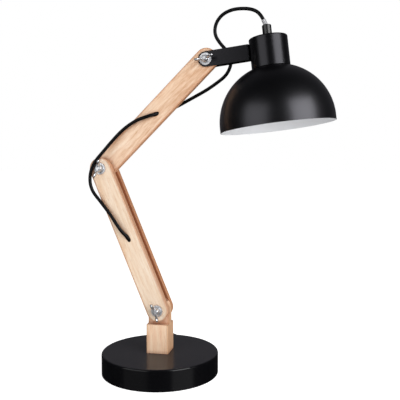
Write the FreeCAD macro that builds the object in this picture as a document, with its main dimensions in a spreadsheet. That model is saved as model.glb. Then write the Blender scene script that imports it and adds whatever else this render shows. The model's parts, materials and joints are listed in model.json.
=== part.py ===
"""A swing-arm table lamp with wooden arms, a black steel base and a black dome shade.

The origin is the centre of the base's underside. +Z is up, +X is the way the head reaches and -Y is the side of
the wing nuts. Every length is in millimetres and every angle in degrees. The driving dimensions are the cells of
the Sizes sheet, and each sub-part is an object of the document whose features are bound to them.
"""

import FreeCAD
import Part
import Sketcher
import math
import os

doc = FreeCAD.newDocument("SwingArmLamp")
sheet = doc.addObject("Spreadsheet::Sheet", "Sizes")
V = FreeCAD.Vector

SIZES = {
    # base
    "base_dia": 160, "base_top": 29, "cover_wall": 1.5, "cover_round": 2.5, "cover_lift": 0.8,
    "pad_inset": 4.5, "pad_thick": 2, "weight_thick": 15, "weight_play": 0.6, "well_dia": 56,
    "slot_width": 17, "stud_dia": 9, "stud_place": 52, "stud_screw_dia": 4, "stud_screw_head": 7.5,
    "stud_screw_head_deep": 3, "post_screw_dia": 4, "post_screw_head": 7.6, "post_screw_head_deep": 2.6,
    "post_screw_long": 24, "post_screw_place": 9.6,
    # post and arms
    "post_side": 30, "shoulder_top": 68.2, "shoulder_axis": 87.5, "board_thick": 9.6, "side_play": 0.1,
    "arm_width": 30, "lower_reach": 208, "upper_reach": 204, "lower_lean": 22.6, "upper_lean": 45.3,
    "edge_round": 0.9,
    # pivots
    "bolt_dia": 5, "pivot_play": 0.05, "hole_play": 0.15, "bolt_head_dia": 13, "bolt_head_deep": 3.3,
    "neck_side": 5.4, "neck_deep": 3.2, "bolt_past_nut": 1.2, "washer_dia": 15.8, "washer_thick": 1.2,
    "shoulder_wings": 111.4, "elbow_wings": 73.5, "head_wings": 15, "nut_hub_dia": 10.4,
    "nut_hub_top_dia": 8.4, "nut_deep": 7, "wing_span": 25, "wing_low": 5.4,
    "wing_high": 13, "wing_thick": 2.8, "wing_width": 7.4,
    # head
    "head_tilt": 6.8, "head_reach": 83.1, "fork_wall": 2, "fork_width": 20, "fork_round": 2.4,
    "fork_screw_dia": 3, "fork_screw_head": 5.6, "fork_screw_head_deep": 1.7, "fork_screw_apart": 11,
    "fork_nut_dia": 5.5, "fork_nut_deep": 2.2, "cap_dia": 50, "cap_wall": 1.2, "cap_rise": 15.7,
    "cap_round": 1.8, "dome_dia": 149.4, "dome_wall": 1, "dome_drop": 94, "dome_skirt": 6, "seat_gap": 0.1,
    "grip_dia": 12, "grip_tall": 16, "grip_round": 0.8, "sleeve_dia": 5.8, "sleeve_long": 10.6,
    "sleeve_deep": 3, "sleeve_lean": 18, "sleeve_play": 1, "throat_reach": 2, "throat_aside": 1,
    "nipple_dia": 10, "nipple_bore": 7, "nipple_above": 10,
    "nipple_below": 4, "nipple_nut_dia": 15, "nipple_nut_deep": 3,
    # lampholder
    "holder_dia": 37, "holder_top_gap": 4, "holder_body_long": 26, "holder_hole_deep": 12,
    "collar_dia": 39, "collar_long": 30,
    "collar_wall": 2.6, "ring_dia": 45, "ring_deep": 5, "shell_bore": 26.5, "shell_wall": 0.6,
    "shell_long": 23, "contact_dia": 9, "contact_deep": 2, "knob_dia": 13, "knob_long": 11,
    "knob_gap": 0.8, "knob_round": 1.2, "spindle_dia": 4, "spindle_deep": 6, "spindle_drop": 3,
    # lead
    "lead_dia": 4.6, "lead_play": 0.4, "drill_play": 0.8, "bore_aside": 7.5, "bore_mouth": 9, "mouth_deep": 7,
    "lead_level": 8.6, "lead_bearing": 14.7, "exit_swing": 30, "relief_long": 20, "relief_dia": 11,
    "relief_tip_dia": 7.2, "relief_neck_dia": 9, "relief_nut_dia": 12.6, "relief_nut_deep": 3, "relief_flange_dia": 14,
    "relief_flange_deep": 1.6, "hank_fold": 13.8, "hank_straight": 39.2, "hank_layers": 3,
    "hank_turns_wide": 2, "hank_near": 81.8, "hank_lift": 0.9, "tie_aside": 8, "tie_width": 10,
    "tie_thick": 0.8, "tie_play": 0.1,
    "plug_wide": 24, "plug_long": 31, "plug_thick": 13, "plug_round": 3, "plug_near": 146, "plug_aside": 3,
    "blade_wide": 6.3, "blade_thick": 1.5, "blade_long": 17, "blade_apart": 12.7,
}

for row, (alias, value) in enumerate(SIZES.items(), 1):
    sheet.set(f"A{row}", alias)
    sheet.set(f"B{row}", str(value))
    sheet.setAlias(f"B{row}", alias)
doc.recompute()


def number(alias):
    """The value of a cell of the sheet."""
    return float(sheet.get(alias))


# ---- frames: where each assembly stands, as expressions for x, y, z and the turn about Y ----------------------

ELBOW_X = "-Sizes.lower_reach * sin(Sizes.lower_lean)"
ELBOW_Z = "Sizes.shoulder_axis + Sizes.lower_reach * cos(Sizes.lower_lean)"
HEAD_X = ELBOW_X + " + Sizes.upper_reach * sin(Sizes.upper_lean)"
HEAD_Z = ELBOW_Z + " + Sizes.upper_reach * cos(Sizes.upper_lean)"
FRAMES = {
    "base": ("0", "0", "0"),
    "lower": ("0", "Sizes.shoulder_axis", "-Sizes.lower_lean"),
    "upper": (ELBOW_X, ELBOW_Z, "Sizes.upper_lean"),
    "head": (HEAD_X, HEAD_Z, "-Sizes.head_tilt"),
    "shoulder_nut": ("0", "Sizes.shoulder_axis", "-Sizes.shoulder_wings"),
    "elbow_nut": (ELBOW_X, ELBOW_Z, "-Sizes.elbow_wings"),
    "head_nut": (HEAD_X, HEAD_Z, "-Sizes.head_wings"),
}
ARM_HALF = "Sizes.board_thick / 2"
SLAT_INSIDE = "(Sizes.board_thick / 2 + Sizes.side_play)"
SLAT_OUTSIDE = "Sizes.post_side / 2"
FORK_OUTSIDE = "(Sizes.board_thick / 2 + Sizes.side_play + Sizes.fork_wall)"
CAP_BOTTOM = ("(sqrt((Sizes.dome_dia / 2)^2 - (Sizes.cap_dia / 2 - Sizes.cap_wall)^2)"
              " - Sizes.dome_drop + Sizes.seat_gap)")
CAP_UNDER = "(Sizes.cap_rise - Sizes.cap_wall)"
HOLDER_TOP = "(Sizes.cap_rise - Sizes.cap_wall - Sizes.holder_top_gap)"
COLLAR_TOP = "(Sizes.cap_rise - Sizes.cap_wall - Sizes.holder_top_gap - Sizes.holder_body_long)"
parts = {}


def placed(item, frame):
    """Places an object in an assembly's frame."""
    x, z, turn = FRAMES[frame]
    item.Placement = FreeCAD.Placement(V(), FreeCAD.Rotation(V(0, 1, 0), 1))
    item.setExpression("Placement.Base.x", x)
    item.setExpression("Placement.Base.z", z)
    item.setExpression("Placement.Rotation.Angle", turn)
    return item


def kept(item, label):
    """Names an object as a sub-part and keeps it for the checks and for writing."""
    item.Label = label
    parts[label] = item
    return item


def stand(item, label, frame="base"):
    """Names a sub-part and places it in its assembly's frame."""
    return kept(placed(item, frame), label)


def frame_placement(frame):
    """The placement that an assembly's frame has with the sheet's present values."""
    probe = placed(doc.addObject("Part::Box", "probe"), frame)
    doc.recompute()
    found = probe.Placement.copy()
    doc.removeObject(probe.Name)
    return found


# ---- sketches ------------------------------------------------------------------------------------------------

def new_sketch(body, role, offset="0", aside="0"):
    """A sketch on one of the body's own origin planes, moved along its normal and along its first axis."""
    sketch = body.newObject("Sketcher::SketchObject", body.Name + "_sketch")
    plane = [o for o in body.Origin.OriginFeatures if o.Role == role][0]
    sketch.AttachmentSupport = (plane, [""])
    sketch.MapMode = "FlatFace"
    sketch.setExpression("AttachmentOffset.Base.z", offset)
    sketch.setExpression("AttachmentOffset.Base.x", aside)
    return sketch


def at_point(sketch, geometry, point, x, y):
    """Ties a point of a sketch's geometry to its place from the sketch's origin."""
    present = sketch.getPoint(geometry, point)
    for kind, value, text in (("DistanceX", present.x, x), ("DistanceY", present.y, y)):
        made = sketch.addConstraint(Sketcher.Constraint(kind, -1, 1, geometry, point, value))
        sketch.setExpression(f"Constraints[{made}]", text)


def outline(sketch, corners):
    """A closed outline of straight lines through corners, each a pair of expressions."""
    count, first = len(corners), sketch.GeometryCount
    rough = [V(20 + 10 * math.cos(math.tau * i / count), 10 * math.sin(math.tau * i / count), 0)
             for i in range(count)]
    for i in range(count):
        sketch.addGeometry(Part.LineSegment(rough[i], rough[(i + 1) % count]), False)
    for i in range(count):
        sketch.addConstraint(Sketcher.Constraint("Coincident", first + i, 2, first + (i + 1) % count, 1))
    for i, (x, y) in enumerate(corners):
        at_point(sketch, first + i, 1, x, y)


def circle(sketch, radius, x="0", y="0"):
    """A circle of that radius about a point."""
    made = sketch.addGeometry(Part.Circle(V(1, 1, 0), V(0, 0, 1), 2), False)
    at_point(sketch, made, 3, x, y)
    held = sketch.addConstraint(Sketcher.Constraint("Radius", made, 2.0))
    sketch.setExpression(f"Constraints[{held}]", radius)


def stadium(sketch, radius, high):
    """A long outline with two round ends, about the sketch's origin and a point above it."""
    half, top = 15.0, 200.0
    right = sketch.addGeometry(Part.LineSegment(V(half, 0, 0), V(half, top, 0)), False)
    over = sketch.addGeometry(Part.ArcOfCircle(Part.Circle(V(0, top, 0), V(0, 0, 1), half), 0, math.pi), False)
    left = sketch.addGeometry(Part.LineSegment(V(-half, top, 0), V(-half, 0, 0)), False)
    under = sketch.addGeometry(Part.ArcOfCircle(Part.Circle(V(), V(0, 0, 1), half), math.pi, math.tau), False)
    for a, b in ((right, over), (over, left), (left, under), (under, right)):
        sketch.addConstraint(Sketcher.Constraint("Tangent", a, 2, b, 1))
    sketch.addConstraint(Sketcher.Constraint("Vertical", right))
    at_point(sketch, under, 3, "0", "0")
    sketch.addConstraint(Sketcher.Constraint("PointOnObject", over, 3, -2))
    for kind, items, text in (("DistanceY", (-1, 1, over, 3), high), ("Radius", (under,), radius)):
        made = sketch.addConstraint(Sketcher.Constraint(kind, *items, 100.0 if kind == "DistanceY" else half))
        sketch.setExpression(f"Constraints[{made}]", text)


# ---- ways of making a piece ----------------------------------------------------------------------------------

def turned(name, profile, aside="0", about="Z", up="0"):
    """A body turned about its own Z, aside along X, or about Y, up along Z, from (radius, along) pairs."""
    body = doc.addObject("PartDesign::Body", name)
    sketch = new_sketch(body, "XZ_Plane", "0", aside) if about == "Z" else new_sketch(body, "XY_Plane", up, aside)
    outline(sketch, profile)
    spin = body.newObject("PartDesign::Revolution", name + "_turn")
    spin.Profile = sketch
    spin.ReferenceAxis = (sketch, ["V_Axis"])
    spin.Angle = 360
    return body


def ring_profile(outer, inner, low, high):
    """The profile of a plain tube, washer or disc."""
    return [(inner, low), (outer, low), (outer, high), (inner, high)]


def padded(label, sketch, length, reverse=False):
    """Extrudes a sketch of a body along the sketch's normal."""
    pad = sketch.getParentGeoFeatureGroup().newObject("PartDesign::Pad", label + "_pad")
    pad.Profile = sketch
    pad.Reversed = reverse
    pad.setExpression("Length", length)
    return pad


def through(name, sketch):
    """Cuts a sketch of a body right through it."""
    pocket = sketch.getParentGeoFeatureGroup().newObject("PartDesign::Pocket", name + "_cut")
    pocket.Profile = sketch
    pocket.Type = 1
    pocket.Midplane = True
    return pocket


def rounded(body, radius, wanted):
    """Fillets the edges of a body for which wanted(edge) is true."""
    doc.recompute()
    tip = body.Tip
    names = [f"Edge{n}" for n, edge in enumerate(tip.Shape.Edges, 1) if wanted(edge)]
    fillet = body.newObject("PartDesign::Fillet", body.Name + "_fillet")
    fillet.Base = (tip, names)
    fillet.setExpression("Radius", radius)
    doc.recompute()
    return fillet


def box(name, size, corner):
    """A block of that size from its lowest corner, both as three expressions."""
    made = doc.addObject("Part::Box", name)
    for key, text in zip(("Length", "Width", "Height"), size):
        made.setExpression(key, text)
    for key, text in zip("xyz", corner):
        made.setExpression("Placement.Base." + key, text)
    return made


AXES = {"x": FreeCAD.Rotation(V(0, 1, 0), 90), "y": FreeCAD.Rotation(V(1, 0, 0), -90), "z": FreeCAD.Rotation()}


def rod(name, radius, length, start, along="z", tip=None):
    """A cylinder, or a cone where tip is its far radius, from the middle of its first face."""
    made = doc.addObject("Part::Cone" if tip else "Part::Cylinder", name)
    made.Placement = FreeCAD.Placement(V(), AXES[along])
    made.setExpression("Radius1" if tip else "Radius", radius)
    if tip:
        made.setExpression("Radius2", tip)
    made.setExpression("Height", length)
    for key, text in zip("xyz", start):
        made.setExpression("Placement.Base." + key, text)
    return made


def joined(name, *pieces):
    """One solid of several that meet."""
    made = doc.addObject("Part::MultiFuse", name)
    made.Shapes = list(pieces)
    made.Refine = True
    return made


def group(name, *pieces):
    """Separate equal solids as one object."""
    made = doc.addObject("Part::Compound", name)
    made.Links = list(pieces)
    return made


def cut(name, base, *tools):
    """A base with one or more tools taken away."""
    made = doc.addObject("Part::Cut", name)
    made.Base = base
    made.Tool = tools[0] if len(tools) == 1 else group(name + "_tools", *tools)
    return made


# ---- the lead: its route and the tubes along it --------------------------------------------------------------

def tube_path(points, share):
    """Straight runs joined by tangent arcs that take a share of the shorter run, and the radii of those arcs."""
    edges, radii, start = [], [], points[0]
    for before, corner, after in zip(points, points[1:], points[2:]):
        back, ahead = (before - corner).normalize(), (after - corner).normalize()
        half_turn = (math.pi - back.getAngle(ahead)) / 2
        reach = share * min(before.distanceToPoint(corner), after.distanceToPoint(corner))
        radii.append(reach / math.tan(half_turn))
        middle = (back + ahead).normalize()
        inside = corner + middle * (radii[-1] / math.cos(half_turn) - radii[-1])
        edges.append(Part.LineSegment(start, corner + back * reach).toShape())
        edges.append(Part.Arc(corner + back * reach, inside, corner + ahead * reach).toShape())
        start = corner + ahead * reach
    edges.append(Part.LineSegment(start, points[-1]).toShape())
    return Part.Wire(edges), radii


def swept(name, wire, start, aim, radius):
    """A round tube along a wire that starts at a point, with its volume against section times length printed."""
    ring = Part.Wire(Part.Circle(start, aim, radius).toShape())
    item = doc.addObject("Part::Feature", name)
    item.Shape = wire.makePipeShell([ring], True, False)
    whole = item.Shape.Volume / (math.pi * radius**2 * wire.Length)
    print(f"{name}: {wire.Length:.1f} mm long, volume {whole:.4f} of section x length")
    return item


def lead_piece(label, points, share=0.45):
    """A stretch of the lead as a sub-part, at its own diameter, with the radii of its bends printed."""
    wire, radii = tube_path(points, share)
    item = swept(label, wire, points[0], points[1] - points[0], number("lead_dia") / 2)
    print(f"{label}: bend radii {' '.join(f'{radius:.0f}' for radius in radii)} mm")
    return kept(item, label)


def lead_channel(name, above, below):
    """The room that two stretches of the lead need on either side of their meeting inside the wood."""
    runs = 3
    upper, lower = tube_path(above[-runs:], 0.45)[0], tube_path(below[:runs], 0.45)[0]
    start, aim = above[-runs], above[1 - runs] - above[-runs]
    return swept(name, Part.Wire(upper.Edges + lower.Edges), start, aim, number("lead_dia") / 2 + number("drill_play"))


LEAD_R = number("lead_dia") / 2
HEAD_AT, UPPER_AT, LOWER_AT = frame_placement("head"), frame_placement("upper"), frame_placement("lower")
LEAN = math.radians(number("sleeve_lean"))
SLEEVE_AIM = V(-math.sin(LEAN), 0, math.cos(LEAN))
THROAT = V(number("head_reach") + number("throat_aside"), 0, number("cap_rise") + number("grip_tall")
           - number("sleeve_deep") - number("throat_reach") * math.cos(LEAN))
SLEEVE_SEAT = THROAT + SLEEVE_AIM * number("throat_reach")
SLEEVE_END = SLEEVE_SEAT + SLEEVE_AIM * number("sleeve_long")
FIRST_RUN = 1.04 * number("sleeve_long")

# How far the lead's line stands from the arms' middle where it lies on the fork, the board or the slats.
ON_FORK = number("board_thick") / 2 + number("side_play") + number("fork_wall") + LEAD_R
ON_BOARD = number("board_thick") / 2 + LEAD_R
ON_SLAT = number("post_side") / 2 + LEAD_R
HALF_WIDE, HEAD_REACH = number("arm_width") / 2, number("head_reach")

# The loop over the head joint: x and z from that joint as shares of the head's reach, y as a share of ON_FORK.
HEAD_LOOP = (
    (0.815, 0.16, 0.688), (0.650, 0.33, 0.733), (0.474, 0.54, 0.735), (0.310, 0.76, 0.680), (0.191, 1.03, 0.567),
    (0.152, 1.25, 0.408), (0.223, 1.41, 0.252), (0.336, 1.52, 0.103), (0.375, 1.55, -0.075), (0.274, 1.52, -0.256),
)
# Under the upper board, through it and out over its front: x from its middle line as a share of HALF_WIDE,
# y as a share of ON_BOARD and z as a share of its reach from the elbow.
IN_BOARD = (0.2, -0.30, 0.534)
BOARD_PASS = (
    (1.880, 1.83, 0.942), (1.653, 1.69, 0.862), (1.373, 1.52, 0.789), (1.120, 1.35, 0.718), (0.860, 1.24, 0.654),
    (0.553, 0.82, 0.594), IN_BOARD, (-0.173, -1.36, 0.478), (-0.780, -1.42, 0.401),
    (-1.100, -1.34, 0.294), (-1.087, -1.48, 0.187),
)
# Round the elbow's front: x and z from the elbow along the lower arm as shares of HALF_WIDE, y of ON_SLAT.
ELBOW_TURN = (
    (0.873, -0.87, 1.327), (-0.180, -1.08, 0.713), (-1.067, -1.09, -0.187), (-1.447, -1.09, -1.460),
    (-1.000, -1.08, -2.887),
)
# Down the front slat, through it and between the slats: x from the middle line as a share of HALF_WIDE, y as a
# share of ON_SLAT and z as a share of the lower arm's reach from the shoulder.
IN_SLAT = (0.127, -0.35, 0.441)
SLAT_PASS = (
    (-0.560, -1.12, 0.685), (-0.273, -1.19, 0.583), (0.027, -0.86, 0.508), IN_SLAT, (0.040, -0.06, 0.376),
    (0.007, 0.02, 0.314), (0.133, -0.02, 0.250), (0.393, -0.06, 0.189), (0.633, -0.08, 0.130),
    (0.747, -0.06, 0.078),
)
BORE_ABOVE_AXIS = 1.25 * number("bore_aside")
BORE_JOIN = V(number("bore_aside"), 0, number("shoulder_axis"))
head_points = [HEAD_AT.multVec(p) for p in (
    SLEEVE_END, SLEEVE_END + SLEEVE_AIM * FIRST_RUN,
    *(V(x * HEAD_REACH, y * ON_FORK, z * HEAD_REACH) for x, y, z in HEAD_LOOP))]
board_points = [UPPER_AT.multVec(V(x * HALF_WIDE, y * ON_BOARD, z * number("upper_reach"))) for x, y, z in BOARD_PASS]
elbow_points = [LOWER_AT.multVec(V(x * HALF_WIDE, y * ON_SLAT, z * HALF_WIDE + number("lower_reach")))
                for x, y, z in ELBOW_TURN]
slat_points = [LOWER_AT.multVec(V(x * HALF_WIDE, y * ON_SLAT, z * number("lower_reach")))
               for x, y, z in SLAT_PASS]
board_turn, slat_turn = BOARD_PASS.index(IN_BOARD), SLAT_PASS.index(IN_SLAT)
in_board = (board_points[board_turn - 1] + board_points[board_turn]) * 0.5
in_slat = (slat_points[slat_turn - 1] + slat_points[slat_turn]) * 0.5
ABOVE_BOARD = head_points + board_points[:board_turn] + [in_board]
ABOVE_SLAT = [in_board] + board_points[board_turn:] + elbow_points + slat_points[:slat_turn] + [in_slat]
IN_SLATS = [in_slat] + slat_points[slat_turn:] + [BORE_JOIN + V(0, 0, BORE_ABOVE_AXIS), BORE_JOIN]


def behind(across, away, up):
    """A point of the table behind the lamp, across and away from the base's centre on the lead's bearing."""
    turn = math.radians(number("lead_bearing"))
    return V(across * math.cos(turn) - away * math.sin(turn), across * math.sin(turn) + away * math.cos(turn), up)


SWING = math.radians(number("exit_swing"))
EXIT_AIM = behind(math.sin(SWING), math.cos(SWING), 0)
LEVEL = V(0, 0, number("lead_level"))
WALL_AT = EXIT_AIM * (number("base_dia") / 2) + LEVEL
RELIEF_TIP = WALL_AT + EXIT_AIM * number("relief_long")
BEND_RUN, WELL_EXIT, SETTLING, LAST_TURN = 12, 33, 1.5, 22
BASE_ROUTE = [
    BORE_JOIN, BORE_JOIN - V(0, 0, number("shoulder_axis") - number("lead_level") - BEND_RUN),
    BORE_JOIN + V(0.5, BEND_RUN, number("lead_level") - number("shoulder_axis")),
    EXIT_AIM * WELL_EXIT + V(SETTLING, 0, 0) + LEVEL, EXIT_AIM * (number("base_dia") / 2 - LAST_TURN) + LEVEL,
    RELIEF_TIP,
]
HANK_LOW = number("hank_lift") + LEAD_R
HANK_HIGH = HANK_LOW + number("lead_dia") * (number("hank_layers") - 1)
HANK_MIDDLE = number("hank_near") + LEAD_R + number("hank_fold") + number("lead_dia")
HANK_FAR = HANK_MIDDLE + number("hank_fold") + number("lead_dia")
START_ROUTE = [RELIEF_TIP] + [behind(*p) for p in (
    (54.6, 94.6, 8.3), (55.6, 103.4, 6.0), (52.9, 112.0, 4.0), (47.2, HANK_FAR - 2.7, 3.1),
    (39.3, HANK_FAR + 0.7, 3.0), (30.6, HANK_FAR + 1.0, HANK_LOW), (22.0, HANK_FAR + 0.1, HANK_LOW),
)]
PLUG_LEVEL = number("plug_thick") / 2
END_ROUTE = [behind(*p) for p in (
    (29.0, HANK_FAR, HANK_HIGH), (18.2, HANK_FAR + 0.1, HANK_HIGH), (8.6, HANK_FAR + 5.5, HANK_HIGH - 0.6),
    (number("plug_aside"), HANK_FAR + 15.1, PLUG_LEVEL + 1.8),
    (number("plug_aside"), number("plug_near") - number("lead_play"), PLUG_LEVEL),
)]


# ---- base ----------------------------------------------------------------------------------------------------

UNDER_TOP = "(Sizes.base_top - Sizes.cover_wall)"
INSIDE_WALL = "(Sizes.base_dia / 2 - Sizes.cover_wall)"
CORNERS = [(f"{x} * Sizes.post_screw_place", f"{y} * Sizes.post_screw_place") for x in (1, -1) for y in (1, -1)]


def exit_placement(start):
    """The placement of a piece whose Z is the lead's way out, from the base's wall outwards."""
    return FreeCAD.Placement(WALL_AT + EXIT_AIM * start, FreeCAD.Rotation(V(0, 0, 1), EXIT_AIM))


def base_cover():
    """The pressed steel cover, with holes for the lead and for the screws into the post."""
    shell = turned("cover_shell", [
        ("0", UNDER_TOP), (INSIDE_WALL, UNDER_TOP), (INSIDE_WALL, "Sizes.cover_lift"),
        ("Sizes.base_dia / 2", "Sizes.cover_lift"), ("Sizes.base_dia / 2", "Sizes.base_top"),
        ("0", "Sizes.base_top")])
    rounded(shell, "Sizes.cover_round", lambda e: abs(e.BoundBox.ZMin - number("base_top")) < 0.01
            and e.BoundBox.XLength > number("base_dia") / 2)
    deep, low = "Sizes.cover_wall + 4", UNDER_TOP + " - 2"
    holes = [rod("lead_hole", "Sizes.lead_dia / 2 + 2 * Sizes.lead_play", deep, ("Sizes.bore_aside", "0", low))]
    for x, y in CORNERS:
        holes.append(rod("post_screw_hole", "Sizes.post_screw_dia / 2 + Sizes.hole_play", deep, (x, y, low)))
    wall_hole = doc.addObject("Part::Cylinder", "wall_hole")
    wall_hole.setExpression("Radius", "Sizes.relief_neck_dia / 2 + Sizes.hole_play")
    wall_hole.setExpression("Height", "8 * Sizes.cover_wall")
    wall_hole.Placement = exit_placement(-6 * number("cover_wall"))
    stand(cut("cover_cut", shell, wall_hole, *holes), "base_cover")


def base_weight():
    """The iron disc with its well and lead slot, its studs up to the cover and the screws into them."""
    top = "(Sizes.pad_thick + Sizes.weight_thick)"
    disc = turned("weight_disc", ring_profile(INSIDE_WALL + " - Sizes.weight_play", "Sizes.well_dia / 2",
                                              "Sizes.pad_thick", top))
    slot = doc.addObject("Part::Box", "weight_slot")
    slot.setExpression("Length", "Sizes.base_dia")
    slot.setExpression("Width", "Sizes.slot_width")
    slot.setExpression("Height", "Sizes.weight_thick + 2")
    aside = V(EXIT_AIM.y, -EXIT_AIM.x, 0) * (number("slot_width") / 2)
    slot.Placement = FreeCAD.Placement(aside + V(0, 0, number("pad_thick") - 1),
                                       FreeCAD.Rotation(V(1, 0, 0), EXIT_AIM))
    shank, head = "Sizes.stud_screw_dia / 2", "Sizes.stud_screw_head / 2"
    seat, head_deep = "Sizes.pad_thick + 0.2", "Sizes.stud_screw_head_deep"
    studs, screws, wells = [], [], []
    for turn in (60, 180, 300):
        bearing = f"(Sizes.lead_bearing + 90 - Sizes.exit_swing + {turn})"
        x, y = f"Sizes.stud_place * cos({bearing})", f"Sizes.stud_place * sin({bearing})"
        wells.append(joined("screw_well",
                            rod("shank_hole", shank + " + Sizes.hole_play", "Sizes.weight_thick + 2",
                                (x, y, "Sizes.pad_thick - 1")),
                            rod("head_hole", head + " + Sizes.hole_play", head_deep + " + 1.2",
                                (x, y, "Sizes.pad_thick - 1"))))
        studs.append(cut("stud", rod("stud_rod", "Sizes.stud_dia / 2", UNDER_TOP + " - " + top, (x, y, top)),
                         rod("stud_tap", shank + " + Sizes.pivot_play", UNDER_TOP + " - " + top,
                             (x, y, top + " - 1.5"))))
        screws.append(joined("stud_screw", rod("shank", shank, "Sizes.weight_thick + 3", (x, y, seat)),
                             rod("head", head, head_deep, (x, y, seat))))
    stand(cut("weight_cut", disc, slot, *wells), "base_weight")
    stand(group("stud_group", *studs), "weight_studs")
    stand(group("stud_screw_group", *screws), "weight_screws")


def base_pad():
    """The pad that the lamp stands on."""
    stand(turned("pad_disc", ring_profile("Sizes.base_dia / 2 - Sizes.pad_inset", "0", "0", "Sizes.pad_thick")), "base_pad")


def strain_relief():
    """The strain relief that the lead leaves the base through, and its nut inside the wall."""
    bore, neck = "Sizes.lead_dia / 2 + Sizes.pivot_play", "Sizes.relief_neck_dia / 2"
    back, face = "-Sizes.cover_wall - Sizes.relief_nut_deep - 1", "Sizes.hole_play"
    relief = turned("relief_turned", [
        (bore, back), (neck, back), (neck, face), ("Sizes.relief_flange_dia / 2", face),
        ("Sizes.relief_flange_dia / 2", face + " + Sizes.relief_flange_deep"),
        ("Sizes.relief_dia / 2", face + " + Sizes.relief_flange_deep"),
        ("Sizes.relief_tip_dia / 2", "Sizes.relief_long"), (bore, "Sizes.relief_long")])
    nut = turned("relief_nut_turned", ring_profile(
        "Sizes.relief_nut_dia / 2", neck + " + Sizes.pivot_play",
        "-Sizes.cover_wall - Sizes.relief_nut_deep - 0.6", "-Sizes.cover_wall - 0.6"))
    for item, label in ((relief, "strain_relief"), (nut, "relief_nut")):
        item.Placement = exit_placement(0)
        kept(item, label)


# ---- post and arms -------------------------------------------------------------------------------------------

def post_parts():
    """The wooden post with its tongue, pivot hole and lead bore, and the four screws up into it."""
    half = "Sizes.post_side / 2"
    block = box("post_block", ("Sizes.post_side", "Sizes.post_side", "Sizes.shoulder_top - Sizes.base_top"),
                ("-" + half, "-" + half, "Sizes.base_top"))
    tongue = joined("post_tongue",
                    box("tongue_web", ("Sizes.arm_width", "Sizes.board_thick",
                                       "Sizes.shoulder_axis - Sizes.shoulder_top + 5"),
                        ("-Sizes.arm_width / 2", "-" + ARM_HALF, "Sizes.shoulder_top - 5")),
                    rod("tongue_end", "Sizes.arm_width / 2", "Sizes.board_thick",
                        ("0", "-" + ARM_HALF, "Sizes.shoulder_axis"), "y"))
    softened = doc.addObject("Part::Fillet", "post_edges")
    softened.Base = joined("post_rough", block, tongue)
    doc.recompute()
    tall = number("shoulder_top") - number("base_top")
    softened.Edges = [(n, number("edge_round"), number("edge_round"))
                      for n, edge in enumerate(softened.Base.Shape.Edges, 1)
                      if abs(edge.BoundBox.ZLength - tall) < 0.01]
    lead_room = "Sizes.lead_dia / 2 + Sizes.lead_play"
    tongue_top = "Sizes.shoulder_axis + Sizes.arm_width / 2"
    holes = [
        rod("pivot_hole", "Sizes.bolt_dia / 2 + Sizes.pivot_play", "Sizes.board_thick + 2",
            ("0", "-" + ARM_HALF + " - 1", "Sizes.shoulder_axis"), "y"),
        rod("lead_bore", lead_room, tongue_top + " + 5", ("Sizes.bore_aside", "0", "Sizes.base_top - 1")),
        rod("bore_mouth", lead_room, "Sizes.mouth_deep",
            ("Sizes.bore_aside", "0", tongue_top + " - Sizes.mouth_deep"), tip="Sizes.bore_mouth / 2"),
    ]
    screws = []
    for x, y in CORNERS:
        holes.append(rod("pilot_hole", "Sizes.post_screw_dia / 2 + Sizes.pivot_play", "Sizes.post_screw_long",
                         (x, y, "Sizes.base_top - 1")))
        screws.append(joined("post_screw",
                             rod("shank", "Sizes.post_screw_dia / 2", "Sizes.post_screw_long", (x, y, UNDER_TOP)),
                             rod("head", "Sizes.post_screw_head / 2", "Sizes.post_screw_head_deep",
                                 (x, y, UNDER_TOP + " - Sizes.post_screw_head_deep"))))
    stand(cut("post_cut", softened, *holes), "post")
    stand(group("post_screw_group", *screws), "post_screws")


def board(name, frame, reach, front, thick, hole):
    """A flat board with round ends and a hole at each, placed in its frame with its front face at y = front."""
    body = doc.addObject("PartDesign::Body", name)
    sketch = new_sketch(body, "XZ_Plane", f"-({front}) - {thick}")
    stadium(sketch, "Sizes.arm_width / 2", reach)
    padded(name, sketch, thick)
    rounded(body, "Sizes.edge_round", lambda e: e.BoundBox.YLength < 0.01)
    drill = new_sketch(body, "XZ_Plane", f"-({front}) - {thick}")
    circle(drill, hole)
    circle(drill, hole, "0", reach)
    through(name, drill)
    return placed(body, frame)


def arm_parts():
    """The two slats of the lower arm and the board of the upper arm, with the holes for bolts and lead."""
    fixed, pivot = "Sizes.bolt_dia / 2 + Sizes.hole_play", "Sizes.bolt_dia / 2 + Sizes.pivot_play"
    thick = "(Sizes.post_side / 2 - Sizes.board_thick / 2 - Sizes.side_play)"
    front = board("front_wood", "lower", "Sizes.lower_reach", "-" + SLAT_OUTSIDE, thick, fixed)
    rear = board("rear_wood", "lower", "Sizes.lower_reach", SLAT_INSIDE, thick, fixed)
    upper = board("upper_wood", "upper", "Sizes.upper_reach", "-" + ARM_HALF, "Sizes.board_thick", pivot)
    slat_channel = lead_channel("slat_channel", ABOVE_SLAT, IN_SLATS)
    board_channel = lead_channel("board_channel", ABOVE_BOARD, ABOVE_SLAT)
    side = "(Sizes.neck_side + 2 * Sizes.hole_play)"
    necks = placed(group("neck_holes", *[
        box("neck_hole", (side, "Sizes.neck_deep + 1", side),
            (f"-{side} / 2", "Sizes.post_side / 2 - Sizes.neck_deep - Sizes.hole_play", f"{up} - {side} / 2"))
        for up in ("0", "Sizes.lower_reach")]), "lower")
    kept(cut("front_slat_cut", front, slat_channel), "front_slat")
    kept(cut("rear_slat_cut", rear, necks), "rear_slat")
    kept(cut("upper_board_cut", upper, board_channel), "upper_board")


# ---- pivots --------------------------------------------------------------------------------------------------

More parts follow.
